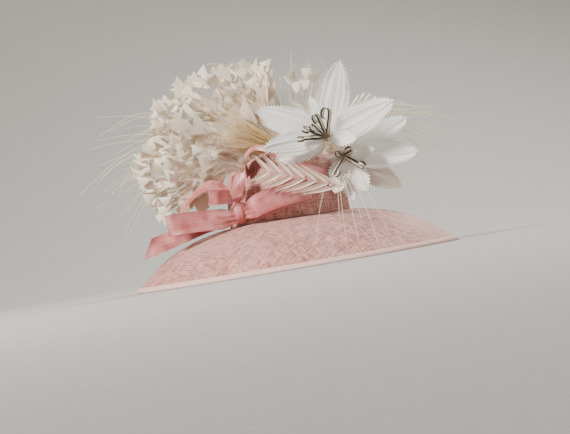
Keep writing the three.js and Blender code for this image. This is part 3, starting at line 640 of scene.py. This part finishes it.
def inner_band():
    form = Form()
    angle = turns(192)[:, None]
    share = np.linspace(0, 1, 12)[None]
    r = oval_radius(angle, crown.wall + gap + band.wall / 2 + gap * 2)
    z = brim_z(r) - band.drop + share * band.height + 0.0003 * np.sin(9 * angle)
    r = r * (1 - 0.025 * share) - 0.0002 * (1 + np.sin(23 * angle)) * share
    flat = np.stack([angle * CROWN_HALF + 0 * share, share * band.height + 0 * angle], axis=-1)
    form.sheet(spun(r, angle, z), band.wall * 0.8, flat, around=True)
    form.build("grosgrain_band", GROSGRAIN, ["head_band"])


# Satin ribbons. Each path runs through its places from the end nearest the knot. The ribbon's width
# stands along lean, and share is how much of the full width shows.
KNOT_PLACE = (-0.77, -0.68, 0.2)
LOW_LOOP = [
    (-0.8, -0.76, 0.15), (-1.04, -0.84, 0.15), (-1.4, -0.95, 0.17), (-1.8, -0.98, 0.18), (-1.93, -0.84, 0.18),
    (-1.78, -0.7, 0.18), (-1.4, -0.68, 0.17), (-1.04, -0.68, 0.15), (-0.8, -0.66, 0.15),
]
TAIL = [
    (-0.82, -0.58, 0.16), (-1.06, -0.55, 0.15), (-1.35, -0.54, 0.11), (-1.7, -0.54, 0.03),
    (-2.0, -0.54, -0.04), (-2.3, -0.56, -0.1),
]
ARCH_LOOP = [
    (-0.8, -0.56, 0.36), (-0.92, -0.44, 0.53), (-1.04, -0.38, 0.63), (-1.2, -0.34, 0.68),
    (-1.46, -0.34, 0.56), (-1.72, -0.32, 0.32), (-1.7, -0.3, 0.17), (-1.4, -0.3, 0.17), (-1.06, -0.3, 0.22),
]
INNER_LOOP = [
    (-0.8, -0.8, 0.43), (-0.94, -0.88, 0.46), (-1.06, -0.96, 0.46), (-1.2, -0.92, 0.48),
    (-1.2, -0.82, 0.48), (-1.08, -0.74, 0.48), (-0.97, -0.7, 0.47),
]
POINTED_LOOP = [
    (-0.75, -0.72, 0.36), (-0.73, -0.82, 0.46), (-0.71, -0.86, 0.6), (-0.68, -0.9, 0.74),
    (-0.68, -0.97, 0.74), (-0.72, -1.02, 0.58), (-0.76, -0.98, 0.42),
]
WIDE_LOOP = [
    (-0.7, -0.76, 0.2), (-0.56, -0.98, 0.23), (-0.3, -1.2, 0.3), (0.1, -1.3, 0.36), (0.36, -1.24, 0.38),
    (0.32, -1.13, 0.37), (0.0, -1.12, 0.32), (-0.4, -1.02, 0.24), (-0.66, -0.72, 0.2),
]
CROWN_LOOP = [
    (-0.54, -0.72, 0.7), (-0.52, -0.78, 0.98), (-0.36, -0.8, 1.09), (-0.14, -0.82, 1.0), (-0.08, -0.8, 0.74),
]
SIDE_LOOP = [
    (0.0, -0.88, 0.62), (0.25, -0.98, 0.64), (0.5, -0.96, 0.56), (0.66, -0.86, 0.44), (0.62, -0.74, 0.42),
]
RIBBONS = [
    dict(name="low_loop", lean=(0, 0, 1), path=LOW_LOOP),
    dict(name="tail", lean=(0, 0, 1), path=TAIL, share=0.85, slant=0.017),
    dict(name="arch_loop", lean=(0.1, 0.85, 0.5), path=ARCH_LOOP),
    dict(name="inner_loop", lean=(0.1, -0.35, 0.9), path=INNER_LOOP, share=0.75),
    dict(name="pointed_loop", lean=(0.87, -0.45, 0.1), path=POINTED_LOOP, share=0.8),
    dict(name="wide_loop", lean=(0, -0.15, 1), path=WIDE_LOOP, share=1.1),
    dict(name="crown_loop", lean=(0.1, 0.9, 0.35), path=CROWN_LOOP),
    dict(name="side_loop", lean=(0.15, 0.2, 1), path=SIDE_LOOP, share=0.9),
]


def satin_ribbon(seed, name, lean, path, share=1.0, slant=0.0):
    form = Form()
    rng = np.random.default_rng(seed)
    rows, cols = 90, 13
    centre = smooth([at(*place) for place in path], rows)
    side = unit(np.array(lean, float))
    t, s = shares(rows, cols)
    pinched = ribbon.pinch + (1 - ribbon.pinch) * ease(t, 0, 0.16)
    if not slant:
        pinched = pinched * (ribbon.pinch + (1 - ribbon.pinch) * ease(1 - t, 0, 0.12))
    half = ribbon.width * share / 2 * pinched
    tangent = unit(np.gradient(centre, axis=0))
    face = unit(np.cross(tangent, side))
    phase = rng.uniform(0, 6, 3)
    cup = 0.0014 * (1 - s**2) * np.sin(math.pi * t) + 0.0008 * np.sin(11 * t + phase[0] + 2 * s)
    pleat = 0.0007 * np.sin(3.2 * math.pi * s + phase[1]) * (1 - ease(t, 0, 0.2))
    grid = placed(centre[:, None], (half * s, side), (cup + pleat, face[:, None]))
    grid = placed(grid, (-s * slant / 2 * ease(t, 0.7, 1), tangent[:, None]))
    grid = off_crown(turned(grid), 0.0006)
    form.sheet(grid, ribbon.wall)
    piece = form.build("satin_" + name, SATIN, ["ribbon_" + name])


def satin_knot():
    form = Form()
    size = np.array([knot.width, knot.depth, knot.height]) / 2
    ball(form, at(*KNOT_PLACE), size, ripple=0.05, folds=9)
    form.build("satin_knot", SATIN, ["ribbon_knot"], crease=80)


# Cloth flowers. A petal's angle is from the viewer's right, its length and width are shares of the full
# ones, its layer counts from the back, and its curl is how far its tip comes towards the viewer.
PETAL_FIELDS = ("name", "angle", "length", "width", "layer", "curl")
FLOWERS = [
    dict(name="flower_a", place=(0.78, -0.98, 1.06), root=(0.5, -0.6, 0.8), cup=0.12, petals=[
        ("leaf", 124, 0.74, 0.3, 0, -0.004),
        ("small_top", 103, 0.6, 0.5, 1, -0.002),
        ("back_left", 196, 0.78, 0.75, 0, -0.008),
        ("top", 71, 1.05, 1, 2, 0.006),
        ("left", 150, 1.03, 0.95, 3, -0.004),
        ("right", 19, 1.03, 0.95, 3, 0.005),
        ("low_left", 181, 0.88, 0.8, 4, 0.006),
        ("front", -14, 0.4, 0.5, 4, 0.01),
    ]),
    dict(name="flower_b", place=(0.99, -0.7, 0.76), root=(0.6, -0.4, 0.68), cup=0.04, petals=[
        ("sheer", -37, 0.93, 0.8, 0, -0.008),
        ("upper_right", 22, 1.04, 0.95, 1, -0.006),
        ("down", -86, 0.63, 0.7, 1, 0.002),
        ("down_right", -66, 0.6, 0.8, 2, 0.008),
        ("right", -6, 1.04, 0.9, 3, 0.004),
        ("down_left", -112, 0.53, 0.7, 3, 0.008),
        ("front", 2, 0.43, 0.45, 4, 0.014),
    ]),
]
for flower in FLOWERS:
    flower["petals"] = [dict(zip(PETAL_FIELDS, fields)) for fields in flower["petals"]]


def petal_width(t):
    wide = np.maximum(0.1, np.sin(math.pi * (0.07 + 0.9 * t**0.9)) ** 0.85)
    return wide * (1 - 0.8 * ease(t, 0.92, 1.0))


def zigzag(x):
    return 2 * np.abs(x - np.floor(x + 0.5))


def cloth_petal(seed, flower, name, angle, length, width, layer, curl):
    form = Form()
    rng = np.random.default_rng(seed)
    full = length * petal.length
    teeth = round((full - petal.neck) / pinking.pitch)
    rows, cols = 4 * teeth + 1, 35
    t, s = shares(rows, cols)
    turn = math.radians(angle)
    along, side = direction(turn), direction(turn + math.pi / 2)
    out = petal.neck + t * (full - petal.neck)
    half = petal_width(t) * width * petal.width / 2
    bite = pinking.bite * np.minimum(1, half / (2 * pinking.bite)) * ease(t, 0.08, 0.2)
    depths = rng.uniform(0.6, 1.15, (teeth + 2, 2))
    own = np.rint(t[:, 0] * teeth).astype(int)
    bite = bite * np.where(s < 0, depths[own, :1], depths[own, 1:])
    tooth = bite * (zigzag(t * teeth) - 0.5)
    edge = ease(np.abs(s), 0.8, 1.0)
    across = s * half + np.sign(s) * edge * tooth
    bowl = flower["cup"] * (out**2 + (s * half) ** 2) / petal.length
    lift = gap + petal.wall / 2 + layer * petal.layer + bowl + petal.fold * np.abs(s) * half * t
    phase = rng.uniform(0, 6, 4)
    pleats = sum(
        size * np.sin(many * s * (1 + 0.12 * np.sin(5 * t + shift)) + shift)
        for many, size, shift in zip((7.3, 12.1, 19.7), (0.5, 0.35, 0.2), phase)
    )
    ribs = 0.0007 * pleats * ease(t, 0.02, 0.3)
    waves = 0.0006 * np.sin(4 * s + 5 * t + phase[1]) * t + 0.0009 * np.sin(16 * t + phase[2]) * edge * t
    tip = curl * ease(t, 0.35, 1.25) * 1.6
    forward = lift + ribs + waves + tip
    grid = placed(at(*flower["place"]), (out, along), (across, side), (forward, TO_VIEWER))
    grid = placed(grid, (0.55 * edge * tooth, along))
    flat = np.stack([out + 0 * s, across], axis=-1)
    form.sheet(off_crown(turned(grid), 0.001), petal.wall, flat)
    sheer = name in ("leaf", "sheer")
    node = flower["name"] + "_petal_" + name
    form.build("cloth_" + node, SHEER if sheer else PETAL, [node], crease=60)


def flower_heart(flower):
    """The wrapped foot that carries the petals, from the crown to their back."""
    form = Form()
    front, root = at(*flower["place"]), at(*flower["root"])
    t = np.linspace(0, 1, 30)
    axis = unit(front - root)
    side = unit(np.cross(axis, UP))
    angles = turns(28)
    radius = 0.005 + 0.004 * t + 0.00025 * np.sin(t * 60)
    ring = ring_in(side, np.cross(side, axis), angles)
    grid = root + t[:, None, None] * (front - root) + radius[:, None, None] * ring
    grid[-1] = grid[-1] + AWAY * 0.0002
    flat = np.stack(np.broadcast_arrays(t[:, None] * 0.04, angles[None] * 0.007), axis=-1)
    form.rings(off_crown(turned(grid)), flat, 0.3)
    node = flower["name"] + "_heart"
    form.build("wrapped_" + node, TUBE, [node], crease=80)


# Stamens: narrow strips from a flower's middle that curl over. Each has an angle from the viewer's
# right, a share of the full length, the roll that turns its curl out of the view, and a share of the curl.
STAMENS = [
    dict(name="stamens_a", flower=0, strips=[
        (74, 0.85, 42, 1.3),
        (105, 0.8, 38, 1.0),
        (150, 0.85, 25, 0.8),
        (175, 1.0, 15, 0.75),
        (128, 0.65, 40, 0.9),
    ]),
    dict(name="stamens_b", flower=1, strips=[
        (15, 0.36, 40, 0.8),
        (-130, 0.75, 40, 0.8),
        (-40, 0.8, 20, 0.8),
        (120, 0.3, 50, 0.7),
    ]),
]


def flower_stamens(name, flower, strips):
    form = Form()
    rng = np.random.default_rng(40 + flower)
    spec = FLOWERS[flower]
    layers = max(each["layer"] for each in spec["petals"]) + 1
    front = at(*spec["place"]) + TO_VIEWER * (gap * 2 + layers * petal.layer)
    for angle, length, roll, curl in strips:
        turn, roll, curl = math.radians(angle), math.radians(roll), stamen.curl * curl
        along, side = direction(turn), direction(turn + math.pi / 2)
        width_way = math.cos(roll) * side + math.sin(roll) * TO_VIEWER
        rise = math.cos(roll) * TO_VIEWER + math.sin(roll) * side
        reach = length * stamen.length - stamen.curl
        base = TO_VIEWER * stamen.width * 0.5 * math.sin(roll)
        start = front + along * stamen.post / 2 + base
        middle = front + along * reach + rise * curl + TO_VIEWER * (0.15 * reach) + base
        angles = np.radians(np.linspace(-90, 175, 26))
        loop = middle + curl * (np.cos(angles)[:, None] * along + np.sin(angles)[:, None] * rise)
        stem = start + np.linspace(0, 1, 12, endpoint=False)[:, None] * (loop[0] - start)
        path = np.vstack([stem, loop])
        s = np.linspace(-1, 1, 9)[None]
        grid = placed(path[:, None], (s * stamen.width / 2, width_way))
        form.sheet(turned(grid), stamen.wall, flat_of(grid))
    form.build("curled_" + name, STAMEN, [name], crease=60)
    heart_tuft(rng, name, front, tuft.reaches[flower])


def heart_tuft(rng, name, front, reach):
    """Short fine strands round a flower's middle."""
    form = Form()
    radius = np.linspace(1, 0.4, 6) * tuft.strand
    for _ in range(tuft.count):
        turn, out = rng.uniform(0, math.tau), rng.uniform(0.15, 1) ** 0.7
        root = front - TO_VIEWER * tuft.depth + direction(turn) * stamen.post * 0.6 * out
        forward = TO_VIEWER * (0.004 + 0.006 * (1 - out))
        end = front + direction(turn) * reach * out + forward + rng.normal(0, 0.0006, 3)
        bend = (root + end) / 2 + TO_VIEWER * 0.0025
        form.hair([root, bend, end], radius, 3, rng.uniform())
    form.build("tuft_" + name, TUFT, [])


# Blunt tubular tips on thin stems, sewn to the crown's shoulder on the viewer's right.
# Each has its own place across and up.
TUBE_TIPS = [(1.42, 1.62), (1.52, 1.64), (1.61, 1.62), (1.7, 1.56), (1.78, 1.5), (1.84, 1.42)]
TUBE_ROOT = (0.74, -0.1, 0.95)
TUBE_AWAY = -0.2


def tubular_tips():
    form = Form()
    root = at(*TUBE_ROOT)
    ball(form, root, [tube.root] * 3, ripple=0.04)
    middle = (len(TUBE_TIPS) - 1) / 2
    angles = turns(40)
    flute = 1 + 0.1 * np.cos(8 * angles)
    run = np.linspace(0, tube.length, 26)
    bell = 0.45 + 0.55 * ease(run / tube.length, 0, 0.3)
    for i, (across, up) in enumerate(TUBE_TIPS):
        tip = at(across, TUBE_AWAY, up)
        foot = root + AWAY * ((i - middle) / middle * tube.root * 0.5)
        along = unit(foot - tip)
        shoulder = tip + along * tube.length
        form.hair([foot, (foot + shoulder) / 2, shoulder], np.full(14, tube.stem), 6, 0.2)
        side = unit(np.cross(-along, AWAY))
        ring = ring_in(side, np.cross(side, -along), angles, flute)
        grid = (shoulder - along * run[:, None])[:, None] + (bell * tube.radius)[:, None, None] * ring
        flat = np.stack(np.broadcast_arrays(run[:, None], angles[None] * tube.radius), axis=-1)
        form.sheet(turned(grid).transpose(1, 0, 2), tube.wall, flat.transpose(1, 0, 2), 0.4, around=True)
    form.build("cloth_tubular_tips", TUBE, ["tubular_tips"])


# The plume. Its outline is a reach for each angle about one centre; each fan fills a part of it
# with stripped quills from its own head. Tips come in two ranges of size.
BROAD_TIPS, FINE_TIPS = (1.7, 2.3), (0.82, 1.1)
PLUME_CENTRE = (-0.11, 0.3, 1.04)
PLUME_ANGLES = [50, 72, 83, 104, 117, 130, 154, 165, 178, 195, 207]
PLUME_REACHES = [0.6, 0.54, 0.55, 0.62, 0.65, 0.74, 0.79, 0.77, 0.87, 0.83, 0.83]
# Each fan: its name, head, counts of fine and of broad tips, range of angles, the share of the outline
# at which its tips begin, and how far away from the viewer they lie.
FANS = [
    ("plume_low", (-0.6, 0.04, 0.98), 64, 14, (184, 206), 0.45, (-0.1, 0.55)),
    ("plume_left", (-0.2, 0.34, 1.04), 124, 16, (148, 186), 0.42, (-0.3, 0.65)),
    ("plume_top", (0.16, 0.4, 1.04), 108, 26, (82, 146), 0.4, (0.0, 0.95)),
    ("plume_back", (0.5, 0.2, 1.0), 6, 0, (52, 70), 0.75, (0.1, 0.5)),
]


def cut_quill(form, rng, root, end, size):
    """A stripped stem with a triangular tip, its point at the stem and its far edge cut straight."""
    along = unit(end - root)
    length = quill.tip_length * size
    neck = end - along * length
    bow = unit(np.cross(along, UP + 1e-3)) * rng.normal(0, 0.005) + UP * rng.normal(0.003, 0.003)
    stem = [root, (root + neck) / 2 + bow, neck, neck + along * 0.004]
    tint = 0.72 * rng.uniform() ** 1.4
    form.hair(stem, np.linspace(1.3, 0.8, 10) * quill.stem, 3, rng.uniform(0.8, 1.0))
    flat_side = unit(np.cross(along, TO_VIEWER))
    twist = rng.normal(0, 0.6)
    side = math.cos(twist) * flat_side + math.sin(twist) * np.cross(along, flat_side)
    face = np.cross(along, side)
    t, s = shares(7, 7)
    half = quill.tip_width * size * rng.uniform(0.8, 1.12) / 2 * (0.04 + 0.96 * t**0.85)
    fold = rng.uniform(0.05, 0.3) * np.abs(s) * half
    bend = rng.normal(0, 0.0025) * t**2 + rng.normal(0, 0.0012) * s * t
    notch = rng.choice([0, 0, 0.12, 0.3]) * length * (1 - np.abs(s)) * ease(t, 0.6, 1)
    skew = rng.normal(0, 0.12) * half * s
    grid = placed(neck, (t * length - notch + skew, along), (s * half, side), (fold + bend, face))
    form.sheet(turned(grid), quill.wall, flat_of(grid), tint)


def fluff(form, rng, centre):
    """Down that hides a head: short soft barbs all round it."""
    radius = np.linspace(0.0006, 0.00015, 6)
    for _ in range(plume.down_count):
        way = unit(rng.normal(0, 1, 3))
        end = centre + way * plume.down * rng.uniform(0.5, 1)
        bend = (centre + end) / 2 + rng.normal(0, 0.0025, 3)
        form.hair([centre + way * 0.003, bend, end], radius, 4, rng.uniform(), 0.3, clear=True)


def plume_fan(seed, name, head, count, broad, angles, inner, aways):
    """A fan of quills: a few with broad tips near its head, then many out to the outline."""
    form = Form()
    rng = np.random.default_rng(seed)
    base, centre = at(*head), at(*PLUME_CENTRE)
    ball(form, base, [plume.head * plume.core_share] * 3, ripple=0.06)
    fluff(form, rng, base)

    def add_quill(angle, share, sizes):
        outline = np.interp(angle, PLUME_ANGLES, PLUME_REACHES) * plume.reach
        end = centre + direction(math.radians(angle)) * outline * share
        end[1] = rng.uniform(*aways) * CROWN_HALF
        start = base + unit(end - base) * plume.head * 0.5
        cut_quill(form, rng, start, end, rng.uniform(*sizes))

    for _ in range(broad):
        add_quill(rng.uniform(*angles), rng.uniform(inner + 0.08, 0.82), BROAD_TIPS)
    for k in range(count):
        angle = angles[0] + (angles[1] - angles[0]) * (k + rng.uniform(0.1, 0.9)) / count
        share = inner + (1 - inner) * rng.uniform() ** 0.62
        if k % 4 == 0:
            share = rng.uniform(0.93, 1.0)
        add_quill(angle, share, FINE_TIPS)
    form.build("feathers_" + name, FEATHER, [name], crease=50)


# The brush of fine quills at the foot of the plume.
BRUSH_PLACE = (0.12, -0.34, 1.0)
BRUSH_ANGLES = (136, 173)


def quill_brush():
    form = Form()
    rng = np.random.default_rng(61)
    start = at(*BRUSH_PLACE)
    ball(form, start, [brush.head] * 3, ripple=0.05)
    radius = np.linspace(1.2, 0.5, 8) * brush.strand
    for _ in range(brush.count):
        angle = math.radians(rng.uniform(*BRUSH_ANGLES))
        length = brush.length * rng.uniform(0.6, 1.0)
        away = -0.3 * length * rng.uniform(0.1, 1)
        end = start + direction(angle) * length + AWAY * away
        root = start + (end - start) * 0.04 + rng.normal(0, 0.0022, 3)
        bend = (root + end) / 2 + UP * rng.normal(0.002, 0.003) + TO_VIEWER * rng.uniform(0, 0.006)
        form.hair([root, bend, end], radius, 3, rng.uniform())
    form.build("stripped_quill_brush", BRUSH, ["quill_brush"])


# Soft feathers: barbs on both sides of a bent spine.
SOFT_FEATHERS = [
    dict(name="blush_feather_1", root=(-0.48, -0.5, 0.84), tip=(-1.34, -0.84, 0.92), width=1),
    dict(name="blush_feather_2", root=(-0.42, -0.42, 0.9), tip=(-1.16, -0.8, 1.26), width=0.9),
    dict(name="blush_feather_3", root=(-0.56, -0.84, 0.8), tip=(-1.06, -1.16, 0.78), width=0.7),
]


def soft_feather(seed, name, root, tip, width):
    form = Form()
    rng = np.random.default_rng(seed)
    start, end = at(*root), at(*tip)
    side = unit(np.cross(AWAY, end - start))
    t = np.linspace(0, 1, 24)
    spine = start + t[:, None] * (end - start) + np.outer(np.sin(math.pi * t), UP) * feather.length * 0.06
    form.strand(off_crown(turned(spine)), np.linspace(0.0008, 0.0002, 24), 5, 0.8)
    along = unit(end - start)
    radius = np.linspace(1, 0.35, 7) * feather.barb / 2
    for k in range(feather.count):
        u = 0.04 + 0.95 * (k + rng.uniform(0, 0.6)) / feather.count
        base = np.array([np.interp(u, t, spine[:, axis]) for axis in range(3)])
        reach = feather.width * width / 2 * max(0.12, math.sin(math.pi * (0.05 + 0.9 * u)))
        for hand in (-1, 1):
            sweep = rng.uniform(0.7, 1.15)
            out = reach * rng.uniform(0.85, 1.15)
            way = unit(hand * side + along * sweep)
            mid = base + way * out * 0.55 + TO_VIEWER * 0.0006
            last = base + way * out * 1.25 + along * out * 0.25 + rng.normal(0, 0.0011, 3)
            last = last + AWAY * 0.2 * out
            form.hair([base, mid, last], radius, 4, rng.uniform(), 0.3, clear=True)
    form.build("soft_" + name, BLUSH, [name])


# The feather with a fishbone pattern: pairs of barbs sweep back from its spine.
CHEVRON_PLACE = (0.84, -1.334, 0.33)
CHEVRON_ANGLE = 159


def chevron_feather():
    form = Form()
    rng = np.random.default_rng(83)
    start = at(*CHEVRON_PLACE)
    spine = math.radians(CHEVRON_ANGLE)
    groups, strips = 7, 2
    for k in range(groups * strips):
        t = (k // strips + 0.34 * (k % strips)) / (groups - 1 + 0.34 * (strips - 1))
        apex = start + direction(spine) * t * chevron.length * 0.96
        for hand in (-1, 1):
            angle = spine + hand * math.radians(24 + 3 * hand + 20 * t + rng.normal(0, 1.5))
            length = chevron.barb * (1 - 0.45 * t) * rng.uniform(0.9, 1.04)
            out, s = shares(16, 5)
            broad = 1.45 if k % strips == 0 else 0.8
            taper = (0.55 + 0.45 * ease(out, 0, 0.3)) * (1 - 0.93 * ease(out, 0.45, 1.0))
            half = broad * chevron.width / 2 * taper
            bow = hand * 0.05 * length * out**2
            centre = placed(apex, (out * length, direction(angle)), (bow, direction(spine - math.pi / 2)))
            lift = 0.0012 * np.abs(s) + 0.0006 * (k % 2) + 0.003 * out
            grid = placed(centre, (s * half, direction(angle + math.pi / 2)), (lift, TO_VIEWER))
            form.sheet(turned(grid), chevron.wall, flat_of(grid), 0.75 * (k % strips) + rng.uniform(0, 0.2))
    tip = start + direction(spine) * chevron.length
    shaft = [start - direction(spine) * 0.004, (start + tip) / 2 + TO_VIEWER * 0.001, tip]
    form.hair(shaft, np.linspace(0.0013, 0.0004, 24), 6, 0.9)
    form.build("fishbone_chevron_feather", FISHBONE, ["chevron_feather"])


# Sprays of long fine strands. Each strand ends near one of the spray's places.
WISP_ENDS = {
    "wisp_left": [
        (-3.22, 0.7, 1.0), (-3.0, 0.7, 1.55), (-2.9, 0.85, 2.05),
        (-2.85, 0.9, 0.62), (-2.7, 0.5, 0.3), (-2.6, 1.1, 1.3),
    ],
    "wisp_top": [(-0.9, 1.1, 2.7), (-0.5, 1.3, 2.66), (0.5, 1.2, 2.62), (1.4, 0.9, 2.3), (1.0, 1.3, 2.45)],
    "wisp_right": [
        (2.7, 0.3, 1.4), (2.6, 0.0, 1.7), (3.0, 0.1, 1.1), (2.9, 0.4, 0.8), (2.6, 0.2, 0.4), (2.2, 0.5, 0.1),
    ],
}

# Strands that drape over the brim: how far to the viewer's right each ends,
# and at what share of the brim's radius.
DRAPE_START = (0.9, -0.78, 0.5)
DRAPES = [
    (0.067, 0.79), (0.088, 0.9), (0.114, 0.96), (0.132, 0.84),
    (0.146, 0.78), (0.07, 0.97), (0.03, 0.88), (0.1, 0.7),
]
SPRAYS = [
    dict(name="wisp_left", head=(-0.36, 0.74, 0.96), count=92, drapes=[]),
    dict(name="wisp_top", head=(0.3, 0.68, 0.9), count=58, drapes=[]),
    dict(name="wisp_right", head=(0.58, 0.4, 0.9), count=84, drapes=DRAPES),
]


def wisp_spray(seed, name, head, count, drapes):
    form = Form()
    rng = np.random.default_rng(seed)
    start, ends = at(*head), WISP_ENDS[name]
    ball(form, start, [wisp.head] * 3, ripple=0.05)
    radius = np.linspace(1.1, 0.45, 18) * wisp.strand
    for k in range(count):
        end = at(*ends[k % len(ends)])
        if k >= len(ends):
            other = at(*ends[(k + 1 + k // len(ends)) % len(ends)])
            end = end + (other - end) * rng.uniform(0, 0.45)
            end = start + (end - start) * rng.uniform(0.55, 1.0)
        reach = np.linalg.norm(end - start)
        bend = start + (end - start) * 0.55 + UP * 0.12 * reach + rng.normal(0, 0.012, 3)
        droop = end + (end - bend) * 0.06 - UP * rng.uniform(0, 0.02) + rng.normal(0, 0.004, 3)
        rise = start + (bend - start) * 0.5 + UP * 0.02 * reach
        fall = (bend + end) / 2 + UP * 0.03 * reach
        form.hair([start, rise, bend, fall, droop], radius, 3, rng.uniform(), clear=True)
    radius = np.linspace(1.1, 0.5, 22) * wisp.strand
    for across, share in drapes:
        form.hair(draped(across, share * brim.radius), radius, 3, rng.uniform())
    form.build("fine_" + name, WISP, [name])


def draped(across, far):
    """The places of a strand from the trimming out over the brim, never lower than just above it."""
    first = at(*DRAPE_START)
    end = np.array([across, -math.sqrt(far**2 - across**2), 0])
    path = []
    for u in np.linspace(0, 1, 12):
        place = first + u * (end - first)
        floor = brim_z(min(np.hypot(place[0], place[1]), brim.radius)) + drape.clear
        place[2] = max(floor, first[2] * (1 - u) + drape.arch * math.sin(math.pi * u) + floor * u)
        path.append(place)
    return path


woven_brim()
woven_crown()
bias_binding()
inner_band()
satin_knot()
for number, each in enumerate(RIBBONS):
    satin_ribbon(number, **each)
for number, flower in enumerate(FLOWERS):
    flower_heart(flower)
    for order, each in enumerate(flower["petals"]):
        cloth_petal(100 + number * 10 + order, flower, **each)
for each in STAMENS:
    flower_stamens(**each)
tubular_tips()
for number, each in enumerate(FANS):
    plume_fan(200 + number, *each)
quill_brush()
for number, each in enumerate(SOFT_FEATHERS):
    soft_feather(300 + number, **each)
chevron_feather()
for number, each in enumerate(SPRAYS):
    wisp_spray(400 + number, **each)


# Studio: a seamless grey floor and backdrop, soft lights and the camera.

# The point that the camera looks at, and its way of view as seen from above.
HAT_AIM = Vector(turned([-0.0067, 0.0, 0.0757]))
VIEW_WAY = Vector(turned([0.0, 1.0, 0.0]))
CAMERA_DISTANCE = 2.6
CAMERA_HEIGHT = 0.035
CAMERA_LENS = 110
CAMERA_ROLL = math.radians(-9.6)
LIGHT_AIM = Vector((0, 0, 0.15))


def backdrop():
    """A floor that curves up into a wall far behind the hat."""
    start, radius, top = 0.9, 1.6, 7.0
    bend = np.linspace(0, math.pi / 2, 32)
    curve = [(start + radius * math.sin(a), radius - radius * math.cos(a)) for a in bend]
    profile = [(-6.0, 0.0), *curve, (start + radius, top)]
    across = np.linspace(-12, 12, 9)
    grid = np.array([[turned([x, depth, height]) for x in across] for depth, height in profile])
    mesh = bpy.data.meshes.new("floor")
    index = np.arange(grid.shape[0] * grid.shape[1]).reshape(grid.shape[:2])
    mesh.from_pydata(grid.reshape(-1, 3).tolist(), [], quads(index)[:, ::-1].tolist())
    mesh.polygons.foreach_set("use_smooth", [True] * len(mesh.polygons))
    look = Look("floor_paper", roughness=0.9, specular=0.2)
    grain = look.noise(scale=180.0, detail=3.0)
    colour = look.mix(look.span(grain, 0.3, 0.7), (0.4, 0.385, 0.36), (0.43, 0.415, 0.39))
    mesh.materials.append(look.finish(colour, grain, 0.0002, 0.2))
    linked("floor", mesh)


def area_light(name, place, size, power, colour):
    data = bpy.data.lights.new(name, "AREA")
    data.shape = "RECTANGLE"
    data.size, data.size_y = size
    data.energy = power
    data.color = colour
    light = linked(name, data)
    light.location = turned(place)
    light.rotation_mode = "QUATERNION"
    light.rotation_quaternion = (LIGHT_AIM - light.location).to_track_quat("-Z", "Y")


def studio():
    world = bpy.data.worlds.new("studio")
    world.use_nodes = True
    sky = world.node_tree.nodes["Background"].inputs
    sky["Color"].default_value = (0.8, 0.82, 0.85, 1)
    sky["Strength"].default_value = 0.24
    bpy.context.scene.world = world
    area_light("key", [-1.5, -1.4, 1.9], (0.6, 0.6), 145, (1.0, 0.97, 0.93))
    area_light("fill", [1.8, -1.4, 0.7], (1.6, 1.0), 9, (0.96, 0.98, 1.0))
    area_light("rim", [0.6, 1.1, 1.6], (1.2, 0.8), 45, (1.0, 0.98, 0.95))


def camera():
    data = bpy.data.cameras.new("camera")
    data.lens = CAMERA_LENS
    data.sensor_width = 36
    data.clip_start, data.clip_end = 0.02, 40
    made = linked("camera", data)
    place = HAT_AIM - VIEW_WAY * CAMERA_DISTANCE
    place.z = CAMERA_HEIGHT
    look = (HAT_AIM - place).to_track_quat("-Z", "Y").to_matrix().to_4x4()
    made.matrix_world = Matrix.Translation(place) @ look @ Matrix.Rotation(CAMERA_ROLL, 4, "Z")
    bpy.context.scene.camera = made


backdrop()
studio()
camera()
